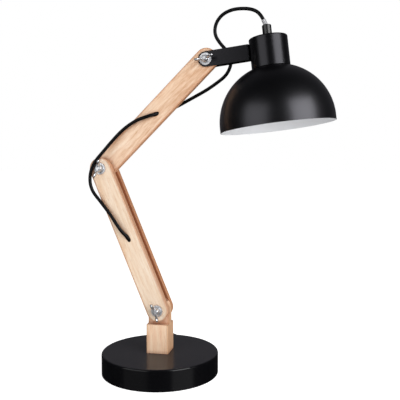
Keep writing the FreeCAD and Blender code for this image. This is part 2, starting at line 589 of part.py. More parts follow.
def pivot_parts(name, frame, up, outside, neck_deep):
    """A pivot's carriage bolt, the wide washer on its front and the wing nut that clamps it."""
    radius, head, deep = "Sizes.bolt_dia / 2", "Sizes.bolt_head_dia", "Sizes.bolt_head_deep"
    front = f"-({outside}) - Sizes.washer_thick"
    end = front + " - Sizes.nut_deep - Sizes.bolt_past_nut"
    square = "Sizes.neck_side"
    shank = turned(name + "_shank", [
        ("0", end), (radius + " - 0.5", end), (radius, end + " + 0.8"), (radius, outside),
        (head + " / 2", outside), (head + " / 2", f"{outside} + {deep} * 0.25"),
        (head + " * 0.38", f"{outside} + {deep} * 0.7"), (head + " * 0.2", f"{outside} + {deep}"),
        ("0", f"{outside} + {deep}")], about="Y", up=up)
    neck = box(name + "_neck", (square, neck_deep, square),
               (f"-{square} / 2", f"{outside} - {neck_deep}", f"{up} - {square} / 2"))
    stand(joined(name + "_bolt_whole", shank, neck), name + "_bolt", frame)
    stand(turned(name + "_washer_turned", ring_profile(
        "Sizes.washer_dia / 2", "Sizes.bolt_dia / 2 + Sizes.hole_play", front, f"-({outside})"),
        about="Y", up=up), name + "_washer", frame)
    wing_nut(name, front)


def wing_nut(name, seat):
    """A wing nut with its face at y = seat: a tapered hub with two wings that stand off the washer."""
    hub = doc.addObject("Part::Cone", name + "_hub")
    hub.Placement = FreeCAD.Placement(V(), FreeCAD.Rotation(V(1, 0, 0), 90))
    hub.setExpression("Radius1", "Sizes.nut_hub_dia / 2")
    hub.setExpression("Radius2", "Sizes.nut_hub_top_dia / 2")
    hub.setExpression("Height", "Sizes.nut_deep")
    hub.setExpression("Placement.Base.y", seat)
    wings = []
    for side in ("", "-"):
        body = doc.addObject("PartDesign::Body", name + ("_left_wing" if side else "_right_wing"))
        sketch = new_sketch(body, "XY_Plane", "-Sizes.wing_thick / 2")
        root, tip = f"{side}Sizes.nut_hub_top_dia * 0.36", f"{side}Sizes.wing_span / 2"
        outline(sketch, [
            (root, f"{seat} - Sizes.wing_low + 2.4"), (f"{side}Sizes.nut_hub_dia * 0.62", f"{seat} - Sizes.wing_low"),
            (tip, f"{seat} - Sizes.wing_low - 1.4"), (tip, f"{seat} - Sizes.wing_high + 1.8"),
            (f"{side}(Sizes.wing_span / 2 - 1.8)", f"{seat} - Sizes.wing_high"),
            (f"{side}(Sizes.wing_span / 2 - Sizes.wing_width * 0.75)", f"{seat} - Sizes.wing_high + 0.6"),
            (root, f"{seat} - Sizes.nut_deep + 0.2")])
        padded(body.Name, sketch, "Sizes.wing_thick")
        rounded(body, "Sizes.wing_thick * 0.4", lambda e: e.BoundBox.ZLength < 0.01
                and abs(e.CenterOfMass.x) > number("nut_hub_dia") * 0.62)
        wings.append(body)
    thread = rod(name + "_thread", "Sizes.bolt_dia / 2 + Sizes.pivot_play", "Sizes.wing_high + 4",
                 ("0", f"{seat} - Sizes.wing_high - 2", "0"), "y")
    stand(cut(name + "_nut_cut", joined(name + "_nut_rough", hub, *wings), thread), name + "_wing_nut", name + "_nut")


# ---- head ----------------------------------------------------------------------------------------------------

FORK_WEB = "(Sizes.head_reach - Sizes.cap_dia / 2)"
SCREW_LEVELS = ("Sizes.fork_screw_apart / 2", "-Sizes.fork_screw_apart / 2")


def head_fork():
    """The bent steel fork from the head pivot to the cap."""
    body = doc.addObject("PartDesign::Body", "fork_steel")
    sketch = new_sketch(body, "XY_Plane", "-Sizes.fork_width / 2")
    back, web_back = "-Sizes.fork_width / 2", FORK_WEB + " - Sizes.fork_wall"
    outline(sketch, [
        (back, "-" + FORK_OUTSIDE), (FORK_WEB, "-" + FORK_OUTSIDE), (FORK_WEB, FORK_OUTSIDE), (back, FORK_OUTSIDE),
        (back, SLAT_INSIDE), (web_back, SLAT_INSIDE), (web_back, "-" + SLAT_INSIDE), (back, "-" + SLAT_INSIDE)])
    padded("fork_steel", sketch, "Sizes.fork_width")
    rounded(body, "Sizes.fork_round", lambda e: abs(e.BoundBox.ZLength - number("fork_width")) < 0.01
            and e.CenterOfMass.x > number("head_reach") - number("cap_dia") / 2 - 0.1)
    wide = f"2 * {FORK_OUTSIDE}"
    ends = joined("fork_ends", rod("fork_end", "Sizes.fork_width / 2", wide, ("0", "-" + FORK_OUTSIDE, "0"), "y"),
                  box("fork_length", (FORK_WEB + " + 1", wide, "Sizes.fork_width"), ("0", "-" + FORK_OUTSIDE, back)))
    shaped = doc.addObject("Part::Common", "fork_shaped")
    shaped.Base, shaped.Tool = body, ends
    side = "(Sizes.neck_side + 2 * Sizes.hole_play)"
    tools = [
        rod("fork_pivot_hole", "Sizes.bolt_dia / 2 + Sizes.hole_play", wide + " + 2",
            ("0", f"-{FORK_OUTSIDE} - 1", "0"), "y"),
        box("fork_neck_hole", (side, "Sizes.fork_wall + 1", side),
            (f"-{side} / 2", SLAT_INSIDE + " - 0.5", f"-{side} / 2"))]
    for up in SCREW_LEVELS:
        tools.append(rod("fork_screw_hole", "Sizes.fork_screw_dia / 2 + Sizes.hole_play", "Sizes.fork_wall + 2",
                         (web_back + " - 1", "0", up), "x"))
    stand(cut("fork_cut", shaped, *tools), "head_fork", "head")


def fork_fasteners():
    """The two screws that hold the cap to the fork, and their nuts inside the cap."""
    shank, head_deep = "Sizes.fork_screw_dia / 2", "Sizes.fork_screw_head_deep"
    head_face = f"{FORK_WEB} - Sizes.fork_wall - {head_deep}"
    nut_face = FORK_WEB + " + Sizes.cap_wall + 0.2"
    long = f"Sizes.fork_wall + {head_deep} + Sizes.cap_wall + Sizes.fork_nut_deep + 1.4"
    screws, nuts = [], []
    for up in SCREW_LEVELS:
        screws.append(joined("fork_screw", rod("shank", shank, long, (head_face, "0", up), "x"),
                             rod("head", "Sizes.fork_screw_head / 2", head_deep, (head_face, "0", up), "x")))
        nuts.append(cut("fork_nut", rod("nut", "Sizes.fork_nut_dia / 2", "Sizes.fork_nut_deep",
                                        (nut_face, "0", up), "x"),
                        rod("nut_hole", shank + " + Sizes.pivot_play", "Sizes.fork_nut_deep + 2",
                            (nut_face + " - 1", "0", up), "x")))
    stand(group("fork_screw_group", *screws), "fork_screws", "head")
    stand(group("fork_nut_group", *nuts), "fork_nuts", "head")


def cap():
    """The steel cap over the lampholder, with holes for the nipple, the switch spindle and the fork's screws."""
    outer, inner = "Sizes.cap_dia / 2", "(Sizes.cap_dia / 2 - Sizes.cap_wall)"
    bore = "(Sizes.nipple_dia / 2 + Sizes.hole_play)"
    shell = turned("cap_shell", [
        (bore, CAP_UNDER), (inner, CAP_UNDER), (inner, CAP_BOTTOM), (outer, CAP_BOTTOM), (outer, "Sizes.cap_rise"),
        (bore, "Sizes.cap_rise")], aside="Sizes.head_reach")
    rounded(shell, "Sizes.cap_round", lambda e: abs(e.BoundBox.ZMin - number("cap_rise")) < 0.01
            and e.BoundBox.XLength > number("cap_dia") * 0.6)
    tools = [rod("cap_spindle_hole", "Sizes.spindle_dia / 2 + 2 * Sizes.hole_play", "Sizes.cap_dia / 2",
                 ("Sizes.head_reach", "Sizes.holder_dia / 2 + 1", "-Sizes.spindle_drop"), "y")]
    for up in SCREW_LEVELS:
        tools.append(rod("cap_screw_hole", "Sizes.fork_screw_dia / 2 + Sizes.hole_play", "Sizes.cap_wall + 4",
                         (FORK_WEB + " - 2", "0", up), "x"))
    stand(cut("cap_cut", shell, *tools), "cap", "head")


def hanging_parts():
    """The threaded nipple that hangs the lampholder in the cap, its nut, and the grip and sleeve of the lead."""
    reach, top = "Sizes.head_reach", "Sizes.cap_rise"
    on_nipple = "Sizes.nipple_dia / 2 + Sizes.pivot_play"
    stand(turned("nipple_turned", ring_profile(
        "Sizes.nipple_dia / 2", "Sizes.nipple_bore / 2", HOLDER_TOP + " - Sizes.nipple_below",
        top + " + Sizes.nipple_above"), aside=reach), "cap_nipple", "head")
    stand(turned("nipple_nut_turned", ring_profile(
        "Sizes.nipple_nut_dia / 2", on_nipple, CAP_UNDER + " - Sizes.nipple_nut_deep", CAP_UNDER), aside=reach),
        "nipple_nut", "head")
    grip, grip_top = "Sizes.grip_dia / 2", "(Sizes.cap_rise + Sizes.grip_tall)"
    seat = f"{grip_top} - Sizes.sleeve_deep - Sizes.sleeve_dia / 2 * sin(Sizes.sleeve_lean)"
    pocket, throat = "Sizes.sleeve_dia / 2 + Sizes.sleeve_play", "Sizes.nipple_bore / 2"
    stop = top + " + Sizes.nipple_above + 0.1"
    stand(turned("grip_turned", [
        (on_nipple, top), (grip, top), (grip, grip_top + " - Sizes.grip_round"),
        (grip + " - Sizes.grip_round", grip_top), (pocket, grip_top), (pocket, seat), (throat, seat),
        (throat, stop), (on_nipple, stop)], aside=reach), "cord_grip", "head")
    sleeve = cut("sleeve_cut", rod("sleeve_rod", "Sizes.sleeve_dia / 2", "Sizes.sleeve_long", ("0", "0", "0")),
                 rod("sleeve_bore", "Sizes.lead_dia / 2 + Sizes.pivot_play", "Sizes.sleeve_long + 2",
                     ("0", "0", "-1")))
    sleeve.Placement = HEAD_AT * FreeCAD.Placement(SLEEVE_SEAT, FreeCAD.Rotation(V(0, 0, 1), SLEEVE_AIM))
    kept(sleeve, "grip_sleeve")
    low = V(THROAT.x, 0, number("cap_rise") - number("cap_wall") - number("holder_top_gap")
            - number("holder_hole_deep"))
    whole_run = number("throat_reach") + number("sleeve_long")
    lead_piece("grip_lead", [HEAD_AT.multVec(p) for p in (low, THROAT, SLEEVE_END)],
               number("throat_reach") / whole_run)


def shade():
    """The spun dome: two concentric arcs with a short straight skirt, turned about the head's own axis."""
    body = doc.addObject("PartDesign::Body", "shade_spun")
    sketch = new_sketch(body, "XZ_Plane", "0", "Sizes.head_reach")
    outer, wall, drop = number("dome_dia") / 2, number("dome_wall"), number("dome_drop")
    low, hole = -drop - number("dome_skirt"), number("collar_dia") / 2 + number("hole_play")
    middle, inner = V(0, -drop, 0), outer - wall
    big, small = [sketch.addGeometry(Part.ArcOfCircle(Part.Circle(middle, V(0, 0, 1), radius), 0,
                                                      math.acos(hole / radius)), False)
                  for radius in (outer, inner)]
    out_wall = sketch.addGeometry(Part.LineSegment(V(outer, -drop, 0), V(outer, low, 0)), False)
    rim = sketch.addGeometry(Part.LineSegment(V(outer, low, 0), V(inner, low, 0)), False)
    in_wall = sketch.addGeometry(Part.LineSegment(V(inner, low, 0), V(inner, -drop, 0)), False)
    lip = sketch.addGeometry(Part.LineSegment(sketch.getPoint(small, 2), sketch.getPoint(big, 2)), False)
    for pair in ((big, 1, out_wall, 1), (out_wall, 2, rim, 1), (rim, 2, in_wall, 1), (in_wall, 2, small, 1),
                 (small, 2, lip, 1), (lip, 2, big, 2), (big, 3, small, 3)):
        sketch.addConstraint(Sketcher.Constraint("Coincident", *pair))
    at_point(sketch, big, 3, "0", "-Sizes.dome_drop")
    for constraint, text in (
            (("Radius", big, outer), "Sizes.dome_dia / 2"),
            (("Radius", small, inner), "Sizes.dome_dia / 2 - Sizes.dome_wall"),
            (("DistanceY", -1, 1, rim, 1, low), "-Sizes.dome_drop - Sizes.dome_skirt"),
            (("DistanceX", -1, 1, lip, 1, hole), "Sizes.collar_dia / 2 + Sizes.hole_play")):
        made = sketch.addConstraint(Sketcher.Constraint(*constraint))
        sketch.setExpression(f"Constraints[{made}]", text)
    for line in (out_wall, in_wall, lip):
        sketch.addConstraint(Sketcher.Constraint("Vertical", line))
    for level in ((rim,), (big, 1, big, 3), (small, 1, small, 3)):
        sketch.addConstraint(Sketcher.Constraint("Horizontal", *level))
    spin = body.newObject("PartDesign::Revolution", "shade_turn")
    spin.Profile = sketch
    spin.ReferenceAxis = (sketch, ["V_Axis"])
    spin.Angle = 360
    stand(body, "shade", "head")


def lampholder():
    """The lampholder: its body with the switch, the collar and ring that hold the shade, and its contacts."""
    reach, collar = "Sizes.head_reach", "Sizes.collar_dia / 2"
    on_nipple, hole_floor = "Sizes.nipple_dia / 2 + Sizes.pivot_play", HOLDER_TOP + " - Sizes.holder_hole_deep"
    recess, recess_top = "Sizes.contact_dia / 2 + Sizes.pivot_play", COLLAR_TOP + " + Sizes.contact_deep"
    core = turned("holder_turned", [
        (recess, COLLAR_TOP), ("Sizes.holder_dia / 2", COLLAR_TOP), ("Sizes.holder_dia / 2", HOLDER_TOP),
        (on_nipple, HOLDER_TOP), (on_nipple, hole_floor), ("0", hole_floor), ("0", recess_top),
        (recess, recess_top)], aside=reach)
    spindle_hole = rod("spindle_hole", "Sizes.spindle_dia / 2 + Sizes.pivot_play", "Sizes.spindle_deep + 1",
                       (reach, "Sizes.holder_dia / 2 - Sizes.spindle_deep", "-Sizes.spindle_drop"), "y")
    stand(cut("holder_cut", core, spindle_hole), "holder_body", "head")
    stand(turned("collar_turned", ring_profile(
        collar, collar + " - Sizes.collar_wall", COLLAR_TOP + " - Sizes.collar_long", COLLAR_TOP), aside=reach),
        "holder_collar", "head")
    stand(turned("shell_turned", ring_profile(
        "Sizes.shell_bore / 2 + Sizes.shell_wall", "Sizes.shell_bore / 2", COLLAR_TOP + " - Sizes.shell_long",
        COLLAR_TOP), aside=reach), "thread_shell", "head")
    stand(turned("contact_turned", ring_profile(
        "Sizes.contact_dia / 2", "0", COLLAR_TOP, recess_top), aside=reach),
        "centre_contact", "head")
    ring_top = ("(sqrt((Sizes.dome_dia / 2 - Sizes.dome_wall)^2 - (Sizes.ring_dia / 2)^2)"
                " - Sizes.dome_drop - Sizes.seat_gap)")
    stand(turned("ring_turned", ring_profile(
        "Sizes.ring_dia / 2", collar + " + Sizes.pivot_play", ring_top + " - Sizes.ring_deep", ring_top),
        aside=reach), "shade_ring", "head")


def switch():
    """The turning spindle of the switch and its knob behind the cap."""
    reach, level = "Sizes.head_reach", "-Sizes.spindle_drop"
    shaft, knob = "Sizes.spindle_dia / 2", "Sizes.knob_dia / 2"
    inner_end = "Sizes.holder_dia / 2 - Sizes.spindle_deep + Sizes.hole_play"
    near = "Sizes.cap_dia / 2 + Sizes.knob_gap"
    far, spindle_end = near + " + Sizes.knob_long", near + " + 6"
    stand(turned("spindle_turned", ring_profile(shaft, "0", inner_end, spindle_end),
                 aside=reach, about="Y", up=level), "switch_spindle", "head")
    stand(turned("knob_turned", [
        (shaft + " + Sizes.pivot_play", near), (knob, near), (knob, far + " - Sizes.knob_round"),
        (knob + " - Sizes.knob_round", far), ("0", far), ("0", spindle_end + " + 0.1"),
        (shaft + " + Sizes.pivot_play", spindle_end + " + 0.1")], aside=reach, about="Y", up=level),
        "switch_knob", "head")


# ---- lead ----------------------------------------------------------------------------------------------------

def on_table(item, label, across, away, turn=0):
    """Keeps a piece on the table behind the lamp, turned from square to the lead's bearing."""
    item.Placement = FreeCAD.Placement(behind(across, away, 0),
                                       FreeCAD.Rotation(V(0, 0, 1), number("lead_bearing") + turn))
    return kept(item, label)


def lead_hank():
    """The outer shape of the folded hank: a long ring of the turns' width and height, and the tie round it."""
    body = doc.addObject("PartDesign::Body", "hank_body")
    wound = new_sketch(body, "XY_Plane", "Sizes.hank_lift")
    stadium(wound, "Sizes.hank_fold + (Sizes.hank_turns_wide - 0.5) * Sizes.lead_dia", "Sizes.hank_straight")
    padded("hank", wound, "Sizes.hank_layers * Sizes.lead_dia")
    rounded(body, "Sizes.lead_dia * 0.45", lambda e: e.BoundBox.ZLength < 0.01)
    opening = new_sketch(body, "XY_Plane", "Sizes.hank_lift")
    stadium(opening, "Sizes.hank_fold - Sizes.lead_dia / 2", "Sizes.hank_straight")
    through("hank", opening)
    on_table(body, "lead_hank", -number("hank_straight") / 2, HANK_MIDDLE, -90)
    deep = "(2 * Sizes.hank_fold + (2 * Sizes.hank_turns_wide - 1) * Sizes.lead_dia + 2 * Sizes.tie_play)"
    tall = "(Sizes.hank_lift + Sizes.hank_layers * Sizes.lead_dia + Sizes.tie_play - Sizes.tie_thick)"
    low, beyond = "-Sizes.tie_width / 2", " + 2 * Sizes.tie_thick"
    tie = cut("tie_cut",
              box("tie_band", ("Sizes.tie_width", deep + beyond, tall + beyond),
                  (low, f"-{deep} / 2 - Sizes.tie_thick", "0")),
              box("tie_room", ("Sizes.tie_width + 2", deep, tall), (low + " - 1", f"-{deep} / 2", "Sizes.tie_thick")))
    on_table(tie, "lead_tie", -number("tie_aside"), HANK_MIDDLE)


def plug():
    """The moulded plug at the lead's end and its two flat blades."""
    body = doc.addObject("PartDesign::Body", "plug_moulded")
    face = new_sketch(body, "XY_Plane", "0")
    half, narrow, wide_from = "Sizes.plug_wide / 2", "Sizes.plug_wide * 0.24", "Sizes.plug_long * 0.4"
    outline(face, [("-" + narrow, "0"), (narrow, "0"), (half, wide_from), (half, "Sizes.plug_long"),
                   ("-" + half, "Sizes.plug_long"), ("-" + half, wide_from)])
    padded("plug", face, "Sizes.plug_thick")
    rounded(body, "Sizes.plug_round", lambda e: e.CenterOfMass.y < number("plug_long") - 0.1
            and e.CenterOfMass.y > 0.1)
    on_table(body, "plug_body", number("plug_aside"), number("plug_near"))
    blades = [box("blade", ("Sizes.blade_thick", "Sizes.blade_long", "Sizes.blade_wide"),
                  (f"{side}Sizes.blade_apart / 2 - Sizes.blade_thick / 2", "Sizes.plug_long",
                   "Sizes.plug_thick / 2 - Sizes.blade_wide / 2")) for side in ("-", "")]
    on_table(group("blade_pair", *blades), "plug_blades", number("plug_aside"), number("plug_near"))


def lead_parts():
    """The lead from the head down the arms and out of the base, with its stored hank and its plug."""
    lead_piece("head_lead", ABOVE_BOARD)
    lead_piece("elbow_lead", ABOVE_SLAT)
    lead_piece("slat_lead", IN_SLATS)
    lead_piece("base_lead", BASE_ROUTE)
    lead_piece("mains_lead_start", START_ROUTE)
    lead_hank()
    lead_piece("mains_lead_end", END_ROUTE)
    plug()


def build():
    """Makes every sub-part in order of assembly."""
    base_cover()
    base_weight()
    base_pad()
    strain_relief()
    post_parts()
    arm_parts()
    pivot_parts("shoulder", "lower", "0", SLAT_OUTSIDE, "Sizes.neck_deep")
    pivot_parts("elbow", "lower", "Sizes.lower_reach", SLAT_OUTSIDE, "Sizes.neck_deep")
    pivot_parts("head", "head", "0", FORK_OUTSIDE, "Sizes.fork_wall")
    head_fork()
    fork_fasteners()
    cap()
    hanging_parts()
    shade()
    lampholder()
    switch()
    lead_parts()
    doc.recompute()


def check_and_write():
    """Stops if a feature failed or a shape is bad, and otherwise writes one STEP file for each sub-part."""
    failed = [o.Label for o in doc.Objects if {"Invalid", "Error"} & set(o.State)]
    bad = [label for label, item in parts.items() if item.Shape.isNull() or not item.Shape.isValid()]
    if failed or bad:
        raise RuntimeError(f"failed objects: {failed}; bad shapes: {bad}")
    os.makedirs("parts", exist_ok=True)
    for label, item in sorted(parts.items()):
        item.Shape.exportStep(f"parts/{label}.step")
        print(f"{label}: {len(item.Shape.Solids)} solid, {item.Shape.Volume:.0f} mm3")


build()
check_and_write()
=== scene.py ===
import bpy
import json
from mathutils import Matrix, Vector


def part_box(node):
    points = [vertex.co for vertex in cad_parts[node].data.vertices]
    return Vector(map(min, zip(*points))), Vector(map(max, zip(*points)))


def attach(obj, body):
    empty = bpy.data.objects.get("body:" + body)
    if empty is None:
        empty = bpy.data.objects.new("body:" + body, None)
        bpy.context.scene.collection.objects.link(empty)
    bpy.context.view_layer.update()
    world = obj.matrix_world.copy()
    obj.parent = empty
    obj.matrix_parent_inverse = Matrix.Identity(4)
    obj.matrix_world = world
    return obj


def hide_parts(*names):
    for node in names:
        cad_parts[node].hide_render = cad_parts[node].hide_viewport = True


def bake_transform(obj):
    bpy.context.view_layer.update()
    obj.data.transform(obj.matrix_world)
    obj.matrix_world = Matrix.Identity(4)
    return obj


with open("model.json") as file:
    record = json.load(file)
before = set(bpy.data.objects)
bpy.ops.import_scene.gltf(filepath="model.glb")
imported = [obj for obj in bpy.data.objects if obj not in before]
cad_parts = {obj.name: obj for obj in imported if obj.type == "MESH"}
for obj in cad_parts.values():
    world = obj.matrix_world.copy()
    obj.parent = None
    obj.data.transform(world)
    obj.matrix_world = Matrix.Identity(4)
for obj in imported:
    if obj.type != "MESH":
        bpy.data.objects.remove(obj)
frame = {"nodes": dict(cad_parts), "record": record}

"""Dresses the swing-arm lamp: wood, enamel, plated fasteners and its lead, on a pale table in soft light.

Places and sizes are in metres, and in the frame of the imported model, except where a docstring or comment says
millimetres. +Z is up, the head reaches to +X, and the wing nuts are on the -Y side.
"""

import json
import logging
import math
from collections.abc import Iterable, Sequence
from dataclasses import dataclass
from enum import Enum

import bmesh
import bpy
from mathutils import Matrix, Vector

LOG = logging.getLogger("lamp")
MM = 0.001
Point = tuple[float, float, float]
Colour = tuple[float, float, float, float]
Socket = bpy.types.NodeSocket
Tree = bpy.types.NodeTree


# ---- colours, nodes and meshes -------------------------------------------------------------------

def linear(code: str) -> Colour:
    """Turns an sRGB hex colour to linear light.

    Args:
        code: The colour as "#RRGGBB".

    Returns:
        Red, green, blue and alpha in linear light.
    """
    channels = [int(code[i:i + 2], 16) / 255 for i in (1, 3, 5)]
    light = [c / 12.92 if c <= 0.04045 else ((c + 0.055) / 1.055) ** 2.4 for c in channels]
    return (light[0], light[1], light[2], 1.0)


def grey(level: float) -> Colour:
    """A neutral colour of that level."""
    return (level, level, level, 1.0)


def connect(tree: Tree, node: bpy.types.Node, **values: object) -> None:
    """Sets or links a node's inputs.

    Args:
        tree: The node tree.
        node: The node.
        values: Each value by its socket's name, with underscores for spaces, or by i and the socket's
            number. A value is a number, a colour or another node's output.
    """
    for key, value in values.items():
        by_number = key[0] == "i" and key[1:].isdigit()
        socket = node.inputs[int(key[1:]) if by_number else key.replace("_", " ")]
        if isinstance(value, Socket):
            tree.links.new(value, socket)
        else:
            socket.default_value = value


def add_node(tree: Tree, kind: str, settings: dict[str, object] | None = None,
             **links: object) -> bpy.types.Node:
    """Adds a shader node with its settings, values and links.

    Args:
        tree: The node tree.
        kind: The node's type name.
        settings: Properties of the node; "stops" are a colour ramp's places and colours, in order.
        links: Values and links of its inputs, as connect() takes them.

    Returns:
        The new node.
    """
    node = tree.nodes.new(kind)
    for key, value in (settings or {}).items():
        if key == "stops":
            bar = node.color_ramp.elements
            while len(bar) < len(value):
                bar.new(0.5)
            for element, (place, colour) in zip(bar, value):
                element.position, element.color = place, colour
        else:
            setattr(node, key, value)
    connect(tree, node, **links)
    return node


def round_angles(count: int) -> list[float]:
    """Evenly spaced angles of a full turn, in radians."""
    return [math.tau * step / count for step in range(count)]


def join_rings(build: bmesh.types.BMesh, rings: list[list[bmesh.types.BMVert]],
               closed: bool = False) -> None:
    """Joins rings of equally many points by smooth faces, each to the next.

    Args:
        build: The mesh.
        rings: The rings, in order.
        closed: Whether the last one joins the first.
    """
    count = len(rings[0])
    for first, second in zip(rings, rings[1:] + (rings[:1] if closed else [])):
        for step in range(count):
            after = (step + 1) % count
            build.faces.new((first[step], first[after], second[after], second[step])).smooth = True


def show(item: bpy.types.Object) -> bpy.types.Object:
    """Links a new object to the scene."""
    bpy.context.scene.collection.objects.link(item)
    return item


def mesh_object(name: str, build: bmesh.types.BMesh) -> bpy.types.Object:
    """Turns a built mesh to an object of the scene, and frees it."""
    data = bpy.data.meshes.new(name)
    build.to_mesh(data)
    build.free()
    return show(bpy.data.objects.new(name, data))


# ---- kinds of finish -----------------------------------------------------------------------------

class Finish:
    """A surface finish that builds its material once."""

    name: str = "finish"

    def build(self, tree: Tree, shader: bpy.types.Node) -> None:
        """Sets up the finish's nodes round the shader."""
        raise NotImplementedError

    def material(self) -> bpy.types.Material:
        """The finish's material, made on first use."""
        made = bpy.data.materials.get(self.name)
        if made is None:
            made = bpy.data.materials.new(self.name)
            made.use_nodes = True
            self.build(made.node_tree, made.node_tree.nodes["Principled BSDF"])
        return made

    def on(self, *objects: bpy.types.Object) -> None:
        """Gives the objects this finish."""
        for item in objects:
            item.data.materials.clear()
            item.data.materials.append(self.material())


@dataclass(frozen=True)
class Timber(Finish):
    """Planed pine under thin satin lacquer.

    The eye sees soft light and dark streaks a millimetre or two wide that run the board's length, and short
    fine pores between them. A darker, warmer tone is painted shade: along the rounded edges (on the post, which
    has no reach, over its side faces), on the inner faces in the gap between the slats, and in nooks where
    light doesn't reach.
    The board runs from its origin for its reach at its lean, in degrees, with that half width. Inner is half
    the gap to its neighbour. Edges says at which shares of the half width the painted edge shade sets in and is
    full, and nooks from which share of open air round a place the painted nook shade is full and gone.
    """

    name: str = "pine"
    origin: Point = (0.0, 0.0, 0.0)
    lean: float = 0.0
    reach: float = 0.0
    half: float = 15 * MM
    inner: float = 0.0
    shift: Point = (0.0, 0.0, 0.0)
    pale: str = "#ECD9C4"
    middle: str = "#E4C9AD"
    dark: str = "#D4AD89"
    fleck: str = "#BE8E66"
    # Edge and inside are colours of painted shade: edge for the rounded edges, inside for the gap and the
    # nooks.
    edge: str = "#B97A50"
    inside: str = "#9E5A36"
    stretch: float = 0.075
    streak: float = 1.5 * MM
    drift: float = 16 * MM
    pore: float = 0.32 * MM
    drift_share: float = 0.42
    fleck_share: float = 0.3
    edges: tuple[float, float] = (0.8, 0.985)
    edge_share: float = 0.7
    inner_share: float = 0.92
    inner_fade: float = 0.9 * MM
    nook: float = 8 * MM
    nooks: tuple[float, float] = (0.2, 0.88)
    nook_share: float = 0.9
    pore_deep: float = 0.06 * MM
    lacquer: float = 0.08
    lacquer_gloss: float = 0.3

    def grain(self, tree: Tree, local: Socket) -> tuple[Socket, Socket, Socket]:
        """Lays streaks and pores along the board.

        Args:
            tree: The material's nodes.
            local: The place in the board's own frame.

        Returns:
            The wood's colour, its streaks and its pores.
        """
        along = add_node(tree, "ShaderNodeMapping", {"vector_type": "POINT"}, Vector=local,
                         Location=self.shift, Scale=(1.0, 1.0, self.stretch)).outputs[0]
        # A period of each noise holds a light and a dark one, so it is two of them wide.
        streaks = add_node(tree, "ShaderNodeTexNoise", Vector=along, Scale=0.5 / self.streak, Detail=5.0,
                           Roughness=0.62, Distortion=0.25).outputs["Fac"]
        drift = add_node(tree, "ShaderNodeTexNoise", Vector=along, Scale=0.5 / self.drift,
                         Detail=2.0).outputs["Fac"]
        pores = add_node(tree, "ShaderNodeTexNoise", Vector=along, Scale=0.5 / self.pore, Detail=2.0,
                         Roughness=0.7).outputs["Fac"]
        tone = add_node(tree, "ShaderNodeMix", i0=self.drift_share, i2=streaks, i3=drift).outputs[0]
        stops = [(0.36, linear(self.dark)), (0.5, linear(self.middle)), (0.63, linear(self.pale))]
        wood = add_node(tree, "ShaderNodeValToRGB", {"stops": stops}, i0=tone).outputs[0]
        flecks = add_node(tree, "ShaderNodeMapRange", Value=pores, From_Min=0.33, From_Max=0.45,
                          To_Min=self.fleck_share, To_Max=0.0).outputs[0]
        flecked = add_node(tree, "ShaderNodeMix", {"data_type": "RGBA"}, i0=flecks, i6=wood,
                           i7=linear(self.fleck)).outputs[2]
        return flecked, streaks, pores

    def with_painted_shade(self, tree: Tree, wood: Socket, local: Socket) -> Socket:
        """Paints shade into the wood: at its rounded edges, on its inner face and in its nooks.

        Args:
            tree: The material's nodes.
            wood: The wood's colour.
            local: The place in the board's own frame.

        Returns:
            The colour with its painted shade.
        """
        parts = add_node(tree, "ShaderNodeSeparateXYZ", Vector=local).outputs
        if self.reach:
            nearest = add_node(tree, "ShaderNodeClamp", Value=parts["Z"], Min=0.0, Max=self.reach).outputs[0]
            past = add_node(tree, "ShaderNodeMath", {"operation": "SUBTRACT"}, i0=parts["Z"],
                            i1=nearest).outputs[0]
            flat = add_node(tree, "ShaderNodeCombineXYZ", X=parts["X"], Z=past).outputs[0]
            out = add_node(tree, "ShaderNodeVectorMath", {"operation": "LENGTH"}, i0=flat).outputs["Value"]
        else:
            out = add_node(tree, "ShaderNodeMath", {"operation": "ABSOLUTE"}, i0=parts["X"]).outputs[0]
        # Painted shade: towards the rounded edges, and on the post over its side faces, the wood darkens to the
        # edge colour.
        painted_edge_shade = add_node(tree, "ShaderNodeMapRange", {"interpolation_type": "SMOOTHSTEP"}, Value=out,
                        From_Min=self.half * self.edges[0], From_Max=self.half * self.edges[1],
                        To_Max=self.edge_share).outputs[0]
        wood = add_node(tree, "ShaderNodeMix", {"data_type": "RGBA"}, i0=painted_edge_shade, i6=wood,
                        i7=linear(self.edge)).outputs[2]
        # Painted shade: the inner face in the gap between the slats darkens to the inside colour, as in the
        # front slat's shadow.
        if self.inner:
            deep = add_node(tree, "ShaderNodeMath", {"operation": "ABSOLUTE"}, i0=parts["Y"]).outputs[0]
            within = add_node(tree, "ShaderNodeMapRange", Value=deep, From_Min=self.inner,
                              From_Max=self.inner + self.inner_fade, To_Min=self.inner_share,
                              To_Max=0.0).outputs[0]
            wood = add_node(tree, "ShaderNodeMix", {"data_type": "RGBA"}, i0=within, i6=wood,
                            i7=linear(self.inside)).outputs[2]
        # Painted shade: where little open air lies round a place, as in nooks and under parts, the wood darkens
        # to the inside colour.
        open_air = add_node(tree, "ShaderNodeAmbientOcclusion", {"samples": 8},
                            Distance=self.nook).outputs["AO"]
        hidden = add_node(tree, "ShaderNodeMapRange", Value=open_air, From_Min=self.nooks[0],
                          From_Max=self.nooks[1], To_Min=self.nook_share, To_Max=0.0).outputs[0]
        return add_node(tree, "ShaderNodeMix", {"data_type": "RGBA"}, i0=hidden, i6=wood,
                        i7=linear(self.inside)).outputs[2]

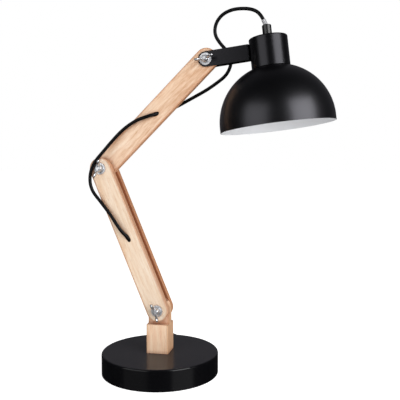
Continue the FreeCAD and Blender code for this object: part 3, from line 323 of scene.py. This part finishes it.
    def build(self, tree: Tree, shader: bpy.types.Node) -> None:
        """Gives the board its grain, its warm edges and its lacquer."""
        place = add_node(tree, "ShaderNodeTexCoord").outputs["Object"]
        local = add_node(tree, "ShaderNodeMapping", {"vector_type": "TEXTURE"}, Vector=place,
                         Location=self.origin, Rotation=(0.0, math.radians(self.lean), 0.0)).outputs[0]
        wood, streaks, pores = self.grain(tree, local)
        connect(
            tree, shader, Base_Color=self.with_painted_shade(tree, wood, local), IOR=1.5, Coat_Weight=self.lacquer,
            Coat_Roughness=self.lacquer_gloss,
            Roughness=add_node(tree, "ShaderNodeMapRange", Value=streaks, To_Min=0.52, To_Max=0.4).outputs[0],
            Normal=add_node(tree, "ShaderNodeBump", Strength=0.15, Distance=self.pore_deep,
                            Height=pores).outputs[0])


@dataclass(frozen=True)
class Coating(Finish):
    """Black paint or enamel on steel: an even colour with a faint orange-peel skin.

    Faces that look up are made rougher and lightened towards a grey, partly a dusting and partly a painted
    reflection that lifts the top's black. A clear coat, where there is one, keeps its sharp reflections over
    the softer ones of the paint. Gloss and coat_gloss are roughnesses, the first varies by the share uneven,
    and under is the paint's own specular level.
    """

    name: str = "enamel"
    colour: str = "#0B0B0D"
    faded: str = "#08080A"
    gloss: float = 0.3
    uneven: float = 0.08
    sheen: str = "#F6F5FF"
    skin: float = 0.05
    skin_size: float = 0.8 * MM
    skin_deep: float = 0.05 * MM
    wear_size: float = 55.6 * MM
    dust_and_sheen: float = 0.2
    dust_and_sheen_grey: str = "#76747C"
    coat: float = 0.0
    coat_gloss: float = 0.12
    under: float = 0.5

    def build(self, tree: Tree, shader: bpy.types.Node) -> None:
        """Sets the coat's colour and gloss, with small waves in its skin, and where it faces up a duller,
        lighter grey: partly a dusting, partly a painted reflection.
        """
        place = add_node(tree, "ShaderNodeTexCoord").outputs["Object"]
        waves = add_node(tree, "ShaderNodeTexNoise", Vector=place, Scale=1 / self.skin_size,
                         Detail=2.0).outputs["Fac"]
        wear = add_node(tree, "ShaderNodeTexNoise", Vector=place, Scale=1 / self.wear_size,
                        Detail=3.0).outputs["Fac"]
        rough = add_node(tree, "ShaderNodeMapRange", Value=wear, To_Min=self.gloss * (1 - self.uneven),
                         To_Max=self.gloss * (1 + self.uneven)).outputs[0]
        stops = [(0.3, linear(self.colour)), (0.8, linear(self.faded))]
        tone = add_node(tree, "ShaderNodeValToRGB", {"stops": stops}, i0=wear).outputs[0]
        # Painted reflection, partly a dusting: faces that look up are lightened towards the grey and made
        # rougher.
        facing = add_node(tree, "ShaderNodeNewGeometry").outputs["Normal"]
        rise = add_node(tree, "ShaderNodeSeparateXYZ", Vector=facing).outputs["Z"]
        dust_and_sheen_share = add_node(tree, "ShaderNodeMapRange", Value=rise, From_Min=0.7, From_Max=0.95,
                         To_Max=self.dust_and_sheen).outputs[0]
        connect(
            tree, shader, IOR=1.5, Specular_Tint=linear(self.sheen), Specular_IOR_Level=self.under,
            Coat_Weight=self.coat, Coat_Roughness=self.coat_gloss,
            Base_Color=add_node(tree, "ShaderNodeMix", {"data_type": "RGBA"}, i0=dust_and_sheen_share, i6=tone,
                                i7=linear(self.dust_and_sheen_grey)).outputs[2],
            Roughness=add_node(tree, "ShaderNodeMath", i0=rough, i1=dust_and_sheen_share).outputs[0],
            Normal=add_node(tree, "ShaderNodeBump", Strength=self.skin, Distance=self.skin_deep,
                            Height=waves).outputs[0])


@dataclass(frozen=True)
class ShadePaint(Finish):
    """Satin black outside and white stove enamel inside, as the distance from the dome's centre tells."""

    name: str = "satin_shade_paint"
    centre: Point = (0.0, 0.0, 0.0)
    boundary: float = 0.0
    outside: str = "#040405"
    inside: str = "#DDDEE0"
    outside_gloss: float = 0.33
    inside_gloss: float = 0.5
    sheen: str = "#F6F5FF"
    skin: float = 0.06
    skin_size: float = 0.9 * MM
    skin_deep: float = 0.05 * MM

    def build(self, tree: Tree, shader: bpy.types.Node) -> None:
        """Mixes the two paints at the middle of the wall."""
        place = add_node(tree, "ShaderNodeTexCoord").outputs["Object"]
        away = add_node(tree, "ShaderNodeVectorMath", {"operation": "DISTANCE"}, i0=place,
                        i1=self.centre).outputs["Value"]
        outer = add_node(tree, "ShaderNodeMath", {"operation": "GREATER_THAN"}, i0=away,
                         i1=self.boundary).outputs[0]
        waves = add_node(tree, "ShaderNodeTexNoise", Vector=place, Scale=1 / self.skin_size,
                         Detail=2.0).outputs["Fac"]
        connect(
            tree, shader, IOR=1.54, Specular_Tint=linear(self.sheen),
            Base_Color=add_node(tree, "ShaderNodeMix", {"data_type": "RGBA"}, i0=outer,
                                i6=linear(self.inside), i7=linear(self.outside)).outputs[2],
            Roughness=add_node(tree, "ShaderNodeMapRange", Value=outer, To_Min=self.inside_gloss,
                               To_Max=self.outside_gloss).outputs[0],
            Normal=add_node(tree, "ShaderNodeBump", Strength=self.skin, Distance=self.skin_deep,
                            Height=waves).outputs[0])


@dataclass(frozen=True)
class Plating(Finish):
    """Zinc or nickel plate on steel or brass, whose gloss is broken by the faint tool marks under it.

    Brightest and dullest are the shares of its roughness between which it varies.
    """

    name: str = "plate"
    colour: str = "#E6E7EA"
    roughness: float = 0.34
    brightest: float = 0.7
    dullest: float = 1.4
    mark: float = 0.5 * MM
    mark_deep: float = 0.03 * MM
    relief: float = 0.04

    def build(self, tree: Tree, shader: bpy.types.Node) -> None:
        """Sets the metal and lets fine marks break its gloss."""
        place = add_node(tree, "ShaderNodeTexCoord").outputs["Object"]
        marks = add_node(tree, "ShaderNodeTexNoise", Vector=place, Scale=1 / self.mark,
                         Detail=3.0).outputs["Fac"]
        connect(
            tree, shader, Base_Color=linear(self.colour), Metallic=1.0,
            Roughness=add_node(tree, "ShaderNodeMapRange", Value=marks,
                               To_Min=self.roughness * self.brightest,
                               To_Max=self.roughness * self.dullest).outputs[0],
            Normal=add_node(tree, "ShaderNodeBump", Strength=self.relief, Distance=self.mark_deep,
                            Height=marks).outputs[0])


@dataclass(frozen=True)
class Moulding(Finish):
    """Moulded plastic, rubber or raw iron: one colour with a fine texture from the mould.

    Its roughness varies by the share uneven, and through is the share of light that goes through it.
    """

    name: str = "moulding"
    colour: str = "#0A0A0B"
    roughness: float = 0.5
    uneven: float = 0.15
    grit: float = 0.35 * MM
    relief: float = 0.15
    relief_deep: float = 0.05 * MM
    ior: float = 1.5
    through: float = 0.0
    sheen: str = "#FFFFFF"

    def build(self, tree: Tree, shader: bpy.types.Node) -> None:
        """Sets the plastic and the mould's texture."""
        place = add_node(tree, "ShaderNodeTexCoord").outputs["Object"]
        grain = add_node(tree, "ShaderNodeTexNoise", Vector=place, Scale=1 / self.grit,
                         Detail=2.0).outputs["Fac"]
        connect(
            tree, shader, Base_Color=linear(self.colour), IOR=self.ior, Specular_Tint=linear(self.sheen),
            Transmission_Weight=self.through,
            Roughness=add_node(tree, "ShaderNodeMapRange", Value=grain,
                               To_Min=self.roughness * (1 - self.uneven),
                               To_Max=self.roughness * (1 + self.uneven)).outputs[0],
            Normal=add_node(tree, "ShaderNodeBump", Strength=self.relief, Distance=self.relief_deep,
                            Height=grain).outputs[0])


# ---- the frame's own places ----------------------------------------------------------------------

NODES = frame["nodes"]
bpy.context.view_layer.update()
JOINTS = {joint["name"]: joint for joint in frame["record"]["behaviour"]["joints"]}
LOWER_LEAN, UPPER_LEAN, HEAD_TILT = -22.6, 45.3, -6.8
LOWER_REACH, UPPER_REACH = 208 * MM, 204 * MM
HALF_GAP = 5.1 * MM


def pivot(name: str) -> Vector:
    """The point of a hinge in the row frame."""
    return Vector(JOINTS[name]["pos_m"])


def leaning(direction: float) -> Matrix:
    """A turn about +Y of that many degrees, from +Z towards +X."""
    return Matrix.Rotation(math.radians(direction), 4, "Y")


def named(names: tuple[str, ...]) -> list[bpy.types.Object]:
    """The CAD nodes with those names."""
    return [NODES[name] for name in names]


class Slot(Enum):
    """The record's material slots that the new pieces stand in for; nothing here gives these slots to them."""

    BRIGHT_STEEL = "bright_steel"
    LEAD_SHEATH = "lead_sheath"


# ---- finishes ------------------------------------------------------------------------------------

# The base's coat mirrors the post softly; the cap's and fork's powder coat spreads its highlights.
ENAMEL = Coating("black_stove_enamel", gloss=0.3, skin=0.02, dust_and_sheen=0.13, coat=0.44, under=0.05)
SATIN = Coating("satin_black_powder_coat", colour="#040405", gloss=0.28, sheen="#D3D2DB", skin=0.12,
                dust_and_sheen=0.25)
# Bright cast nuts, duller flat washers and warm, smooth contacts.
ZINC = Plating("bright_zinc_plate", roughness=0.3)
WASHER_ZINC = Plating("satin_zinc_plate", "#EDEEF1", roughness=0.46)
NICKEL = Plating("nickel_plated_brass", "#C9C2B0", roughness=0.2)
IRON = Moulding("cast_iron_skin", "#3A3A3B", roughness=0.75, grit=1.2 * MM, relief=0.5)
FOAM = Moulding("black_eva_pad", "#161616", roughness=0.9, grit=0.6 * MM, relief=0.4)
# The sheath's softened skin gives back less light than hard plastic, so it reads as deep black.
PVC = Moulding("black_pvc_sheath", "#040405", roughness=0.42, grit=0.5 * MM, relief=0.08, ior=1.52,
               sheen="#9C9CA0")
BAKELITE = Moulding("black_phenolic_moulding", "#0B0B0C", roughness=0.35, grit=0.4 * MM, relief=0.06, ior=1.6)
NYLON = Moulding("clear_nylon_sleeve", "#C9C9CC", roughness=0.3, grit=0.3 * MM, relief=0.05, ior=1.53,
                 through=0.4)
# Every board is cut from another place of the tree, so each has its own shift in the grain and its own tone.
# The rear slat's darker, redder tones are painted shade, as it lies behind the front slat.
FRONT_PINE = Timber("pine_front_slat", tuple(pivot("shoulder")), LOWER_LEAN, LOWER_REACH, inner=HALF_GAP,
                    shift=(0.021, 0.004, 0.01))
REAR_PINE = Timber("pine_rear_slat", tuple(pivot("shoulder")), LOWER_LEAN, LOWER_REACH, inner=HALF_GAP,
                   shift=(-0.017, 0.032, 0.03), pale="#DDB994", middle="#CDA079", dark="#BA8760")
UPPER_PINE = Timber("pine_upper_board", tuple(pivot("elbow")), UPPER_LEAN, UPPER_REACH,
                    shift=(0.034, -0.009, 0.02), pale="#EED5BD", middle="#E2BFA0", dark="#CA9A75",
                    stretch=0.13)
# Its edge colour paints shade over the post's side faces.
POST_PINE = Timber("pine_post", shift=(0.013, 0.046, 0.0), pale="#FADCBF", middle="#F6CFAD",
                   dark="#E6AF8A", edge="#CFA078")


# ---- the lamp's own pieces -----------------------------------------------------------------------

@dataclass(frozen=True)
class Base:
    """The weighted base with its pad, and the post that stands on it."""

    steel: tuple[str, ...] = ("weight_studs", "weight_screws", "relief_nut", "post_screws")

    def dress(self) -> None:
        """Gives the base's own nodes their finishes."""
        ENAMEL.on(NODES["base_cover"])
        IRON.on(NODES["base_weight"])
        FOAM.on(NODES["base_pad"])
        POST_PINE.on(NODES["post"])
        ZINC.on(*named(self.steel))
        LOG.info("base dressed")


@dataclass(frozen=True)
class Arms:
    """The lower arm's two slats, the upper board and the pivots' fasteners."""

    fasteners: tuple[str, ...] = (
        "shoulder_bolt", "shoulder_washer", "elbow_bolt", "elbow_washer", "head_bolt", "head_washer")

    def dress(self) -> None:
        """Gives the boards grain along their length, and plates the fasteners."""
        FRONT_PINE.on(NODES["front_slat"])
        REAR_PINE.on(NODES["rear_slat"])
        UPPER_PINE.on(NODES["upper_board"])
        WASHER_ZINC.on(*named(self.fasteners))
        LOG.info("arms dressed")


@dataclass(frozen=True)
class WingNut:
    """A cast wing nut: a tapered hub with a threaded hole, and two round-ended wings that rise from it.

    Its own frame has the hub's axis along +Z from the washer, and the wings along X. Its tables are in
    millimetres. Joint is the hinge that its bolt is the pin of, and bearing turns its wings, in degrees.
    """

    name: str
    joint: str
    bearing: float
    # Each place round the hub's outline: out from the axis and up from the washer.
    hub: tuple[tuple[float, float], ...] = (
        (2.55, 0.15), (4.9, 0.0), (5.2, 0.5), (4.1, 6.3), (3.5, 7.0), (2.95, 7.0), (2.55, 6.5))
    # Each place along a wing: out from the axis, up from the washer, half its height and half its thickness.
    wing: tuple[tuple[float, float, float, float], ...] = (
        (1.6, 3.6, 2.9, 2.0), (3.6, 5.0, 2.9, 1.8), (5.6, 7.0, 2.7, 1.6), (7.6, 9.3, 2.9, 1.75),
        (9.4, 10.9, 3.1, 1.9), (10.9, 11.9, 2.7, 1.75), (11.9, 12.6, 1.7, 1.3), (12.4, 12.9, 0.4, 0.4))
    hub_steps: int = 48
    wing_steps: int = 16

    def hub_mesh(self, build: bmesh.types.BMesh) -> None:
        """Turns the hub's outline about its axis, into the mesh."""
        rings = [[build.verts.new((out * math.cos(angle) * MM, out * math.sin(angle) * MM, up * MM))
                  for angle in round_angles(self.hub_steps)] for out, up in self.hub]
        join_rings(build, rings, closed=True)

    def wing_mesh(self, build: bmesh.types.BMesh, side: int) -> None:
        """Lofts one wing through its oval sections.

        Args:
            build: The mesh it goes into.
            side: 1 or -1, the end of the X axis that it points to.
        """
        rings = []
        for index, (out, up, high, thick) in enumerate(self.wing):
            ahead, back = self.wing[min(index + 1, len(self.wing) - 1)], self.wing[max(index - 1, 0)]
            aim = Vector((ahead[0] - back[0], 0.0, ahead[1] - back[1])).normalized()
            across = Vector((-aim.z, 0.0, aim.x)) * high
            middle = Vector((out, 0.0, up))
            ring = []
            for angle in round_angles(self.wing_steps):
                place = (middle + across * math.cos(angle) + Vector((0.0, thick * math.sin(angle), 0.0))) * MM
                ring.append(build.verts.new((place.x * side, place.y, place.z)))
            rings.append(ring)
        join_rings(build, rings)
        build.faces.new(rings[0])
        build.faces.new(rings[-1])

    def build(self) -> bpy.types.Object:
        """Builds the nut in place of its plain solid.

        Returns:
            The nut.
        """
        build = bmesh.new()
        self.hub_mesh(build)
        for side in (1, -1):
            self.wing_mesh(build, side)
        bmesh.ops.recalc_face_normals(build, faces=build.faces)
        # The plain solid's far side in Y is the washer's face.
        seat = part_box(self.name + "_wing_nut")[1][1]
        centre = pivot(self.joint)
        build.transform(Matrix.Translation((centre.x, seat, centre.z)) @ leaning(-self.bearing)
                        @ Matrix.Rotation(math.radians(90), 4, "X"))
        piece = mesh_object("cast_" + self.name + "_wing_nut", build)
        ZINC.on(piece)
        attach(piece, self.name + "_nut")
        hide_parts(self.name + "_wing_nut")
        LOG.info("%s built", piece.name)
        return piece


@dataclass(frozen=True)
class Head:
    """The fork, cap, shade and lampholder. The dome's centre is given from the hinge, before the tilt."""

    dome_centre: Point = (83.1 * MM, 0.0, -94 * MM)
    dome_radius: float = 74.7 * MM
    dome_wall: float = 1 * MM
    steel: tuple[str, ...] = ("fork_screws", "fork_nuts", "cap_nipple", "nipple_nut", "switch_spindle")
    mouldings: tuple[str, ...] = ("cord_grip", "holder_body", "holder_collar", "shade_ring", "switch_knob")
    contacts: tuple[str, ...] = ("thread_shell", "centre_contact")

    def dress(self) -> None:
        """Gives the head's nodes their finishes."""
        SATIN.on(NODES["head_fork"], NODES["cap"])
        centre = pivot("head_tilt") + leaning(HEAD_TILT) @ Vector(self.dome_centre)
        ShadePaint("shade_paint", tuple(centre), self.dome_radius - self.dome_wall / 2).on(NODES["shade"])
        ZINC.on(*named(self.steel))
        BAKELITE.on(*named(self.mouldings))
        NICKEL.on(*named(self.contacts))
        NYLON.on(NODES["grip_sleeve"])
        LOG.info("head dressed")


# ---- lead ----------------------------------------------------------------------------------------

# The routes' control points, in millimetres of the row frame.
HEAD_ROUTE = (
    (140.1, 0.0, 471.0), (135.3, 0.0, 480.0), (125.0, 1.5, 486.0), (111.5, 3.0, 488.1), (97.0, 5.0, 487.6),
    (84.0, 7.0, 482.2), (75.3, 9.5, 471.7), (73.6, 11.5, 458.2), (81.0, 13.0, 446.0), (91.8, 14.0, 434.9),
    (96.8, 14.3, 420.6), (90.2, 14.0, 404.6), (76.8, 13.0, 394.2), (62.8, 12.0, 384.9),
    (49.2, 10.8, 377.6), (36.0, 9.6, 370.6), (24.0, 8.8, 364.2), (12.0, 5.8, 358.9), (5.8, 1.8, 356.4),
)
ELBOW_ROUTE = (
    (5.8, 1.8, 356.4), (-0.4, -2.1, 354.0), (-12.4, -9.7, 350.0), (-30.0, -10.1, 344.4),
    (-48.4, -9.5, 332.6), (-63.5, -10.5, 317.3), (-75.0, -15.1, 302.4), (-86.5, -18.7, 288.4),
    (-93.6, -18.9, 270.8), (-91.6, -18.9, 251.0), (-77.1, -18.7, 233.8), (-62.5, -19.4, 215.8),
    (-50.4, -20.6, 197.9), (-40.2, -14.9, 185.2), (-36.9, -10.5, 179.1),
)
SLAT_ROUTE = (
    (-36.9, -10.5, 179.1), (-33.5, -6.1, 172.9), (-29.5, -1.0, 159.9), (-25.0, 0.3, 147.8),
    (-18.1, -0.3, 136.3), (-9.7, -1.0, 126.1), (-1.6, -1.4, 116.1), (4.1, -1.0, 106.8), (7.5, 0.0, 96.9),
    (7.5, 0.0, 87.5),
)
TO_HANK = (
    (26.4, 96.5, 8.6), (28.8, 105.4, 8.3), (27.5, 114.1, 6.0), (22.7, 121.8, 4.0), (15.7, 126.3, 3.1),
    (7.2, 127.6, 3.0), (-1.3, 125.7, 3.2), (-9.4, 122.6, 3.2),
)
TO_PLUG = (
    (-11.4, 119.4, 15.6), (-20.6, 122.5, 16.8), (-27.8, 126.9, 14.0), (-32.0, 133.4, 9.2),
    (-34.0, 141.2, 6.5),
)


@dataclass(frozen=True)
class Span:
    """A stretch of the lead between two bodies of a joint.

    Start and end are points in metres, between which it would pass from the body above to the body below; none
    of these four is used.
    """

    node: str
    route: tuple[Point, ...]
    above: str
    below: str
    start: Point
    end: Point


@dataclass(frozen=True)
class Hank:
    """The put-away turns behind the base: two beside each other in three layers.

    Its sizes are in millimetres, and its bearing in degrees. Places are each turn's lane, counted in from the
    outer one, and its layer. From the share change_from of its way round, a turn moves over to the next one's
    place.
    """

    middle: Point = (-26.0, 99.1, 3.2)
    bearing: float = 14.7
    straight: float = 39.2
    fold: float = 14.65
    pitch: float = 4.6
    per_turn: int = 20
    places: tuple[tuple[int, int], ...] = ((0, 0), (1, 0), (1, 1), (0, 1), (0, 2), (1, 2))
    change_from: float = 0.66

    def on_ring(self, share: float, radius: float) -> tuple[float, float]:
        """A point of the ring, whose way round is counter-clockwise from the far side's right end.

        Args:
            share: The share of the way round.
            radius: The radius of its two bends.

        Returns:
            The point's places along and across the hank.
        """
        half = self.straight / 2
        bend = math.pi * radius
        along = share * (2 * self.straight + 2 * bend)
        if along < self.straight:
            return half - along, radius
        if along < self.straight + bend:
            turn = (along - self.straight) / radius
            return -half - radius * math.sin(turn), radius * math.cos(turn)
        if along < 2 * self.straight + bend:
            return -half + along - self.straight - bend, -radius
        turn = (along - 2 * self.straight - bend) / radius
        return half + radius * math.sin(turn), -radius * math.cos(turn)

    def turns(self) -> tuple[Point, ...]:
        """Winds the turns one after the other.

        Returns:
            Their control points, in millimetres of the row frame.
        """
        points = []
        cos, sin = math.cos(math.radians(self.bearing)), math.sin(math.radians(self.bearing))
        for number, ((lane, level), (next_lane, next_level)) in enumerate(
                zip(self.places, self.places[1:] + self.places[-1:])):
            # The first turn's first point is the end of the stretch from the strain relief.
            for step in range(0 if number else 1, self.per_turn):
                share = step / self.per_turn
                moved = min(max((share - self.change_from) / (1 - self.change_from), 0.0), 1.0)
                moved = moved * moved * (3 - 2 * moved)
                inward = lane + (next_lane - lane) * moved
                up = level + (next_level - level) * moved
                across, away = self.on_ring(share, self.fold + self.pitch * (1 - inward))
                points.append((self.middle[0] + across * cos - away * sin,
                               self.middle[1] + across * sin + away * cos,
                               self.middle[2] + up * self.pitch))
        return tuple(points)


@dataclass(frozen=True)
class Lead:
    """The lead from the head to the plug: held stretches laid along the arms over the joints, and the mains
    lead.
    """

    sheathed: tuple[str, ...] = ("grip_lead", "base_lead", "strain_relief", "lead_tie", "plug_body")
    diameter: float = 4.6 * MM
    around: int = 20
    steps: int = 8
    bevel_steps: int = 6
    spans: tuple[Span, ...] = (
        Span("head_lead", HEAD_ROUTE, above="head", below="upper_arm",
             start=(0.1401, 0.0, 0.471), end=(0.049, 0.0, 0.3781)),
        Span("elbow_lead", ELBOW_ROUTE, above="upper_arm", below="lower_arm",
             start=(-0.03, 0.0, 0.3454), end=(-0.0936, 0.0, 0.2708)),
        Span("slat_lead", SLAT_ROUTE, above="lower_arm", below="base",
             start=(-0.0181, 0.0, 0.1363), end=(0.0041, 0.0, 0.1068)),
    )
    hank: Hank = Hank()

    def dress(self) -> None:
        """Gives the lead's own nodes, its tie and its plug their finishes."""
        PVC.on(*named(self.sheathed))
        NICKEL.on(NODES["plug_blades"])
        LOG.info("lead and plug dressed")

    def line(self, name: str, points: Sequence[Point]) -> bpy.types.Object:
        """A smooth spline with those points as its control points.

        Args:
            name: The object's name.
            points: The control points, in millimetres of the row frame.

        Returns:
            The curve object, without thickness.
        """
        data = bpy.data.curves.new(name, "CURVE")
        data.dimensions = "3D"
        spline = data.splines.new("NURBS")
        spline.points.add(len(points) - 1)
        for target, place in zip(spline.points, points):
            target.co = (place[0] * MM, place[1] * MM, place[2] * MM, 1.0)
        spline.order_u = 3
        spline.use_endpoint_u = True
        spline.resolution_u = self.steps
        return show(bpy.data.objects.new(name, data))

    def followed(self, span: Span) -> list[Vector]:
        """Reads the path of a held stretch from the spline of its route.

        Args:
            span: The stretch.

        Returns:
            Points on the spline, close enough together to have its length.
        """
        curve = self.line(span.node + "_line", span.route)
        bpy.context.view_layer.update()
        read = bpy.data.meshes.new_from_object(curve)
        points = [v.co.copy() for v in read.vertices]
        bpy.data.meshes.remove(read)
        bpy.data.objects.remove(curve)
        return points

    def tube(self, name: str, path: list[Vector]) -> bpy.types.Object:
        """A round tube along a path, its rings turned as little as possible from one to the next.

        Args:
            name: The piece's name.
            path: The points the tube follows.

        Returns:
            The mesh object.
        """
        build = bmesh.new()
        side = (path[1] - path[0]).orthogonal().normalized()
        rings = []
        for index, place in enumerate(path):
            before, after = path[max(index - 1, 0)], path[min(index + 1, len(path) - 1)]
            aim = (after - before).normalized()
            side = (side - aim * side.dot(aim)).normalized()
            other = aim.cross(side)
            spokes = [side * math.cos(angle) + other * math.sin(angle) for angle in round_angles(self.around)]
            rings.append([build.verts.new(place + spoke * self.diameter / 2) for spoke in spokes])
        join_rings(build, rings)
        build.faces.new(list(reversed(rings[0])))
        build.faces.new(rings[-1])
        return mesh_object(name, build)

    def held(self) -> None:
        """Lays the three stretches along the arms, each bending over its joint."""
        for span in self.spans:
            path = self.followed(span)
            piece = self.tube("sheathed_" + span.node, path)
            PVC.on(piece)
            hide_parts(span.node)
            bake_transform(piece)
            length = sum((after - before).length for before, after in zip(path, path[1:]))
            LOG.info("%s: %.0f mm", piece.name, length / MM)

    def mains(self) -> None:
        """Lays the mains lead from the strain relief through the hank to its plug."""
        lead = self.line("mains_lead", TO_HANK + self.hank.turns() + TO_PLUG)
        lead.data.bevel_depth = self.diameter / 2
        lead.data.bevel_resolution = self.bevel_steps
        lead.data.use_fill_caps = True
        PVC.on(lead)
        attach(lead, "base")
        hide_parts("mains_lead_start", "lead_hank", "mains_lead_end")
        LOG.info("mains lead laid")


# ---- studio --------------------------------------------------------------------------------------

@dataclass(frozen=True)
class TableTop(Finish):
    """A matt white table top that glows a little, so that it stays pale round the lamp's faint shadow.

    It lights the lamp's underside with its own share of the glow, and the lamp's gloss sees it dim.
    """

    name: str = "white_table"
    half: float = 30.0
    white: float = 0.8
    matt: float = 0.9
    lamp_glow: float = 0.5
    seen_glow: float = 0.97
    mirrored: float = 0.1
    mirrored_rough: float = 0.25

    def build(self, tree: Tree, shader: bpy.types.Node) -> None:
        """Adds the glow to the white, and shows another surface to the lamp's reflections."""
        connect(tree, shader, Base_Color=grey(self.white), Roughness=self.matt)
        rays = add_node(tree, "ShaderNodeLightPath").outputs
        glow = add_node(tree, "ShaderNodeMapRange", Value=rays["Is Camera Ray"], To_Min=self.lamp_glow,
                        To_Max=self.seen_glow).outputs[0]
        glowing = add_node(tree, "ShaderNodeEmission", Strength=glow).outputs[0]
        lit = add_node(tree, "ShaderNodeAddShader", i0=shader.outputs[0], i1=glowing).outputs[0]
        dim = add_node(tree, "ShaderNodeBsdfGlossy", Color=grey(self.mirrored),
                       Roughness=self.mirrored_rough).outputs[0]
        connect(tree, tree.nodes["Material Output"], Surface=add_node(
            tree, "ShaderNodeMixShader", i0=rays["Is Glossy Ray"], i1=lit, i2=dim).outputs[0])

    def lay(self) -> bpy.types.Object:
        """Lays the table top as the floor.

        Returns:
            The table top.
        """
        build = bmesh.new()
        bmesh.ops.create_grid(build, x_segments=1, y_segments=1, size=self.half)
        top = mesh_object("table_top", build)
        self.on(top)
        return top


@dataclass(frozen=True)
class Room:
    """The room round the table: white to the camera, dim to the lamp's gloss, with a grey wall on one side.

    Fill is what it adds to diffuse light, and wall_way points to the wall's middle.
    """

    dim: float = 0.018
    wall: float = 0.14
    wall_way: Point = (-0.26, 0.92, 0.29)
    fill: float = 0.08
    white: float = 1.0
    tint: str = "#F6F4FF"

    def build(self) -> None:
        """Sets the room as the scene's world."""
        world = bpy.data.worlds.new("white_room")
        world.use_nodes = True
        bpy.context.scene.world = world
        tree = world.node_tree
        way = add_node(tree, "ShaderNodeTexCoord").outputs["Generated"]
        toward = add_node(tree, "ShaderNodeVectorMath", {"operation": "DOT_PRODUCT"}, i0=way,
                          i1=self.wall_way).outputs["Value"]
        wall = add_node(tree, "ShaderNodeMapRange", Value=toward, From_Min=0.2, From_Max=0.95,
                        To_Min=self.dim, To_Max=self.wall).outputs[0]
        rays = add_node(tree, "ShaderNodeLightPath").outputs
        filled = add_node(tree, "ShaderNodeMath", {"operation": "MULTIPLY_ADD"}, i0=rays["Is Diffuse Ray"],
                          i1=self.fill, i2=wall).outputs[0]
        level = add_node(tree, "ShaderNodeMix", i0=rays["Is Camera Ray"], i2=filled, i3=self.white).outputs[0]
        tint = add_node(tree, "ShaderNodeMix", {"data_type": "RGBA"}, i0=rays["Is Glossy Ray"], i6=grey(1.0),
                        i7=linear(self.tint)).outputs[2]
        connect(tree, tree.nodes["Background"], Strength=level, Color=tint)


@dataclass(frozen=True)
class SoftBox:
    """A square soft light: where it stands round the lamp, its size in metres and its radiance."""

    name: str
    bearing: float
    rise: float
    away: float
    size: float
    radiance: float

    def build(self, aim: Vector) -> bpy.types.Object:
        """Hangs the light and turns it to the point it lights.

        Args:
            aim: The point it faces.

        Returns:
            The light.
        """
        level, turn = math.radians(self.rise), math.radians(self.bearing)
        out = Vector((math.cos(turn) * math.cos(level), math.sin(turn) * math.cos(level), math.sin(level)))
        data = bpy.data.lights.new(self.name, "AREA")
        data.size = self.size
        data.energy = self.radiance * math.pi * self.size**2
        item = show(bpy.data.objects.new(self.name, data))
        item.location = aim + out * self.away
        item.rotation_euler = out.to_track_quat("Z", "Y").to_euler()
        return item


@dataclass(frozen=True)
class Studio:
    """The table, the white room, the soft lights and the camera, whose turn is in degrees."""

    aim: Point = (0.06, 0.0, 0.2614)
    lights: tuple[SoftBox, ...] = (
        SoftBox("right_softbox", bearing=-32.0, rise=17.0, away=1.35, size=1.08, radiance=5.15),
        SoftBox("left_softbox", bearing=-124.0, rise=10.0, away=1.5, size=1.3, radiance=1.75),
    )
    camera_at: Point = (0.22239, -0.76348, 0.28187)
    camera_turn: Point = (86.757, 0.0, 12.27)
    lens: float = 52.51
    sensor: float = 36.0

    def build(self) -> None:
        """Builds the table, the lights, the room and the camera."""
        TableTop().lay()
        for light in self.lights:
            light.build(Vector(self.aim))
        Room().build()
        self.camera()
        LOG.info("studio built")

    def camera(self) -> None:
        """Sets up the camera at the lamp's middle height, a little to the right of it."""
        data = bpy.data.cameras.new("camera")
        data.sensor_width, data.lens = self.sensor, self.lens
        item = show(bpy.data.objects.new("camera", data))
        item.location = self.camera_at
        item.rotation_euler = [math.radians(angle) for angle in self.camera_turn]
        bpy.context.scene.camera = item


def main() -> None:
    """Dresses the lamp, lays its lead and sets up the studio."""
    logging.basicConfig(level=logging.INFO)
    bpy.context.scene.view_settings.view_transform = "Standard"
    Base().dress()
    Arms().dress()
    for name, joint, bearing in (("shoulder", "shoulder", 111.4), ("elbow", "elbow", 73.5),
                                 ("head", "head_tilt", 15.0)):
        WingNut(name, joint, bearing).build()
    Head().dress()
    lead = Lead()
    lead.dress()
    lead.held()
    lead.mains()
    Studio().build()


if __name__ == "__main__":
    main()
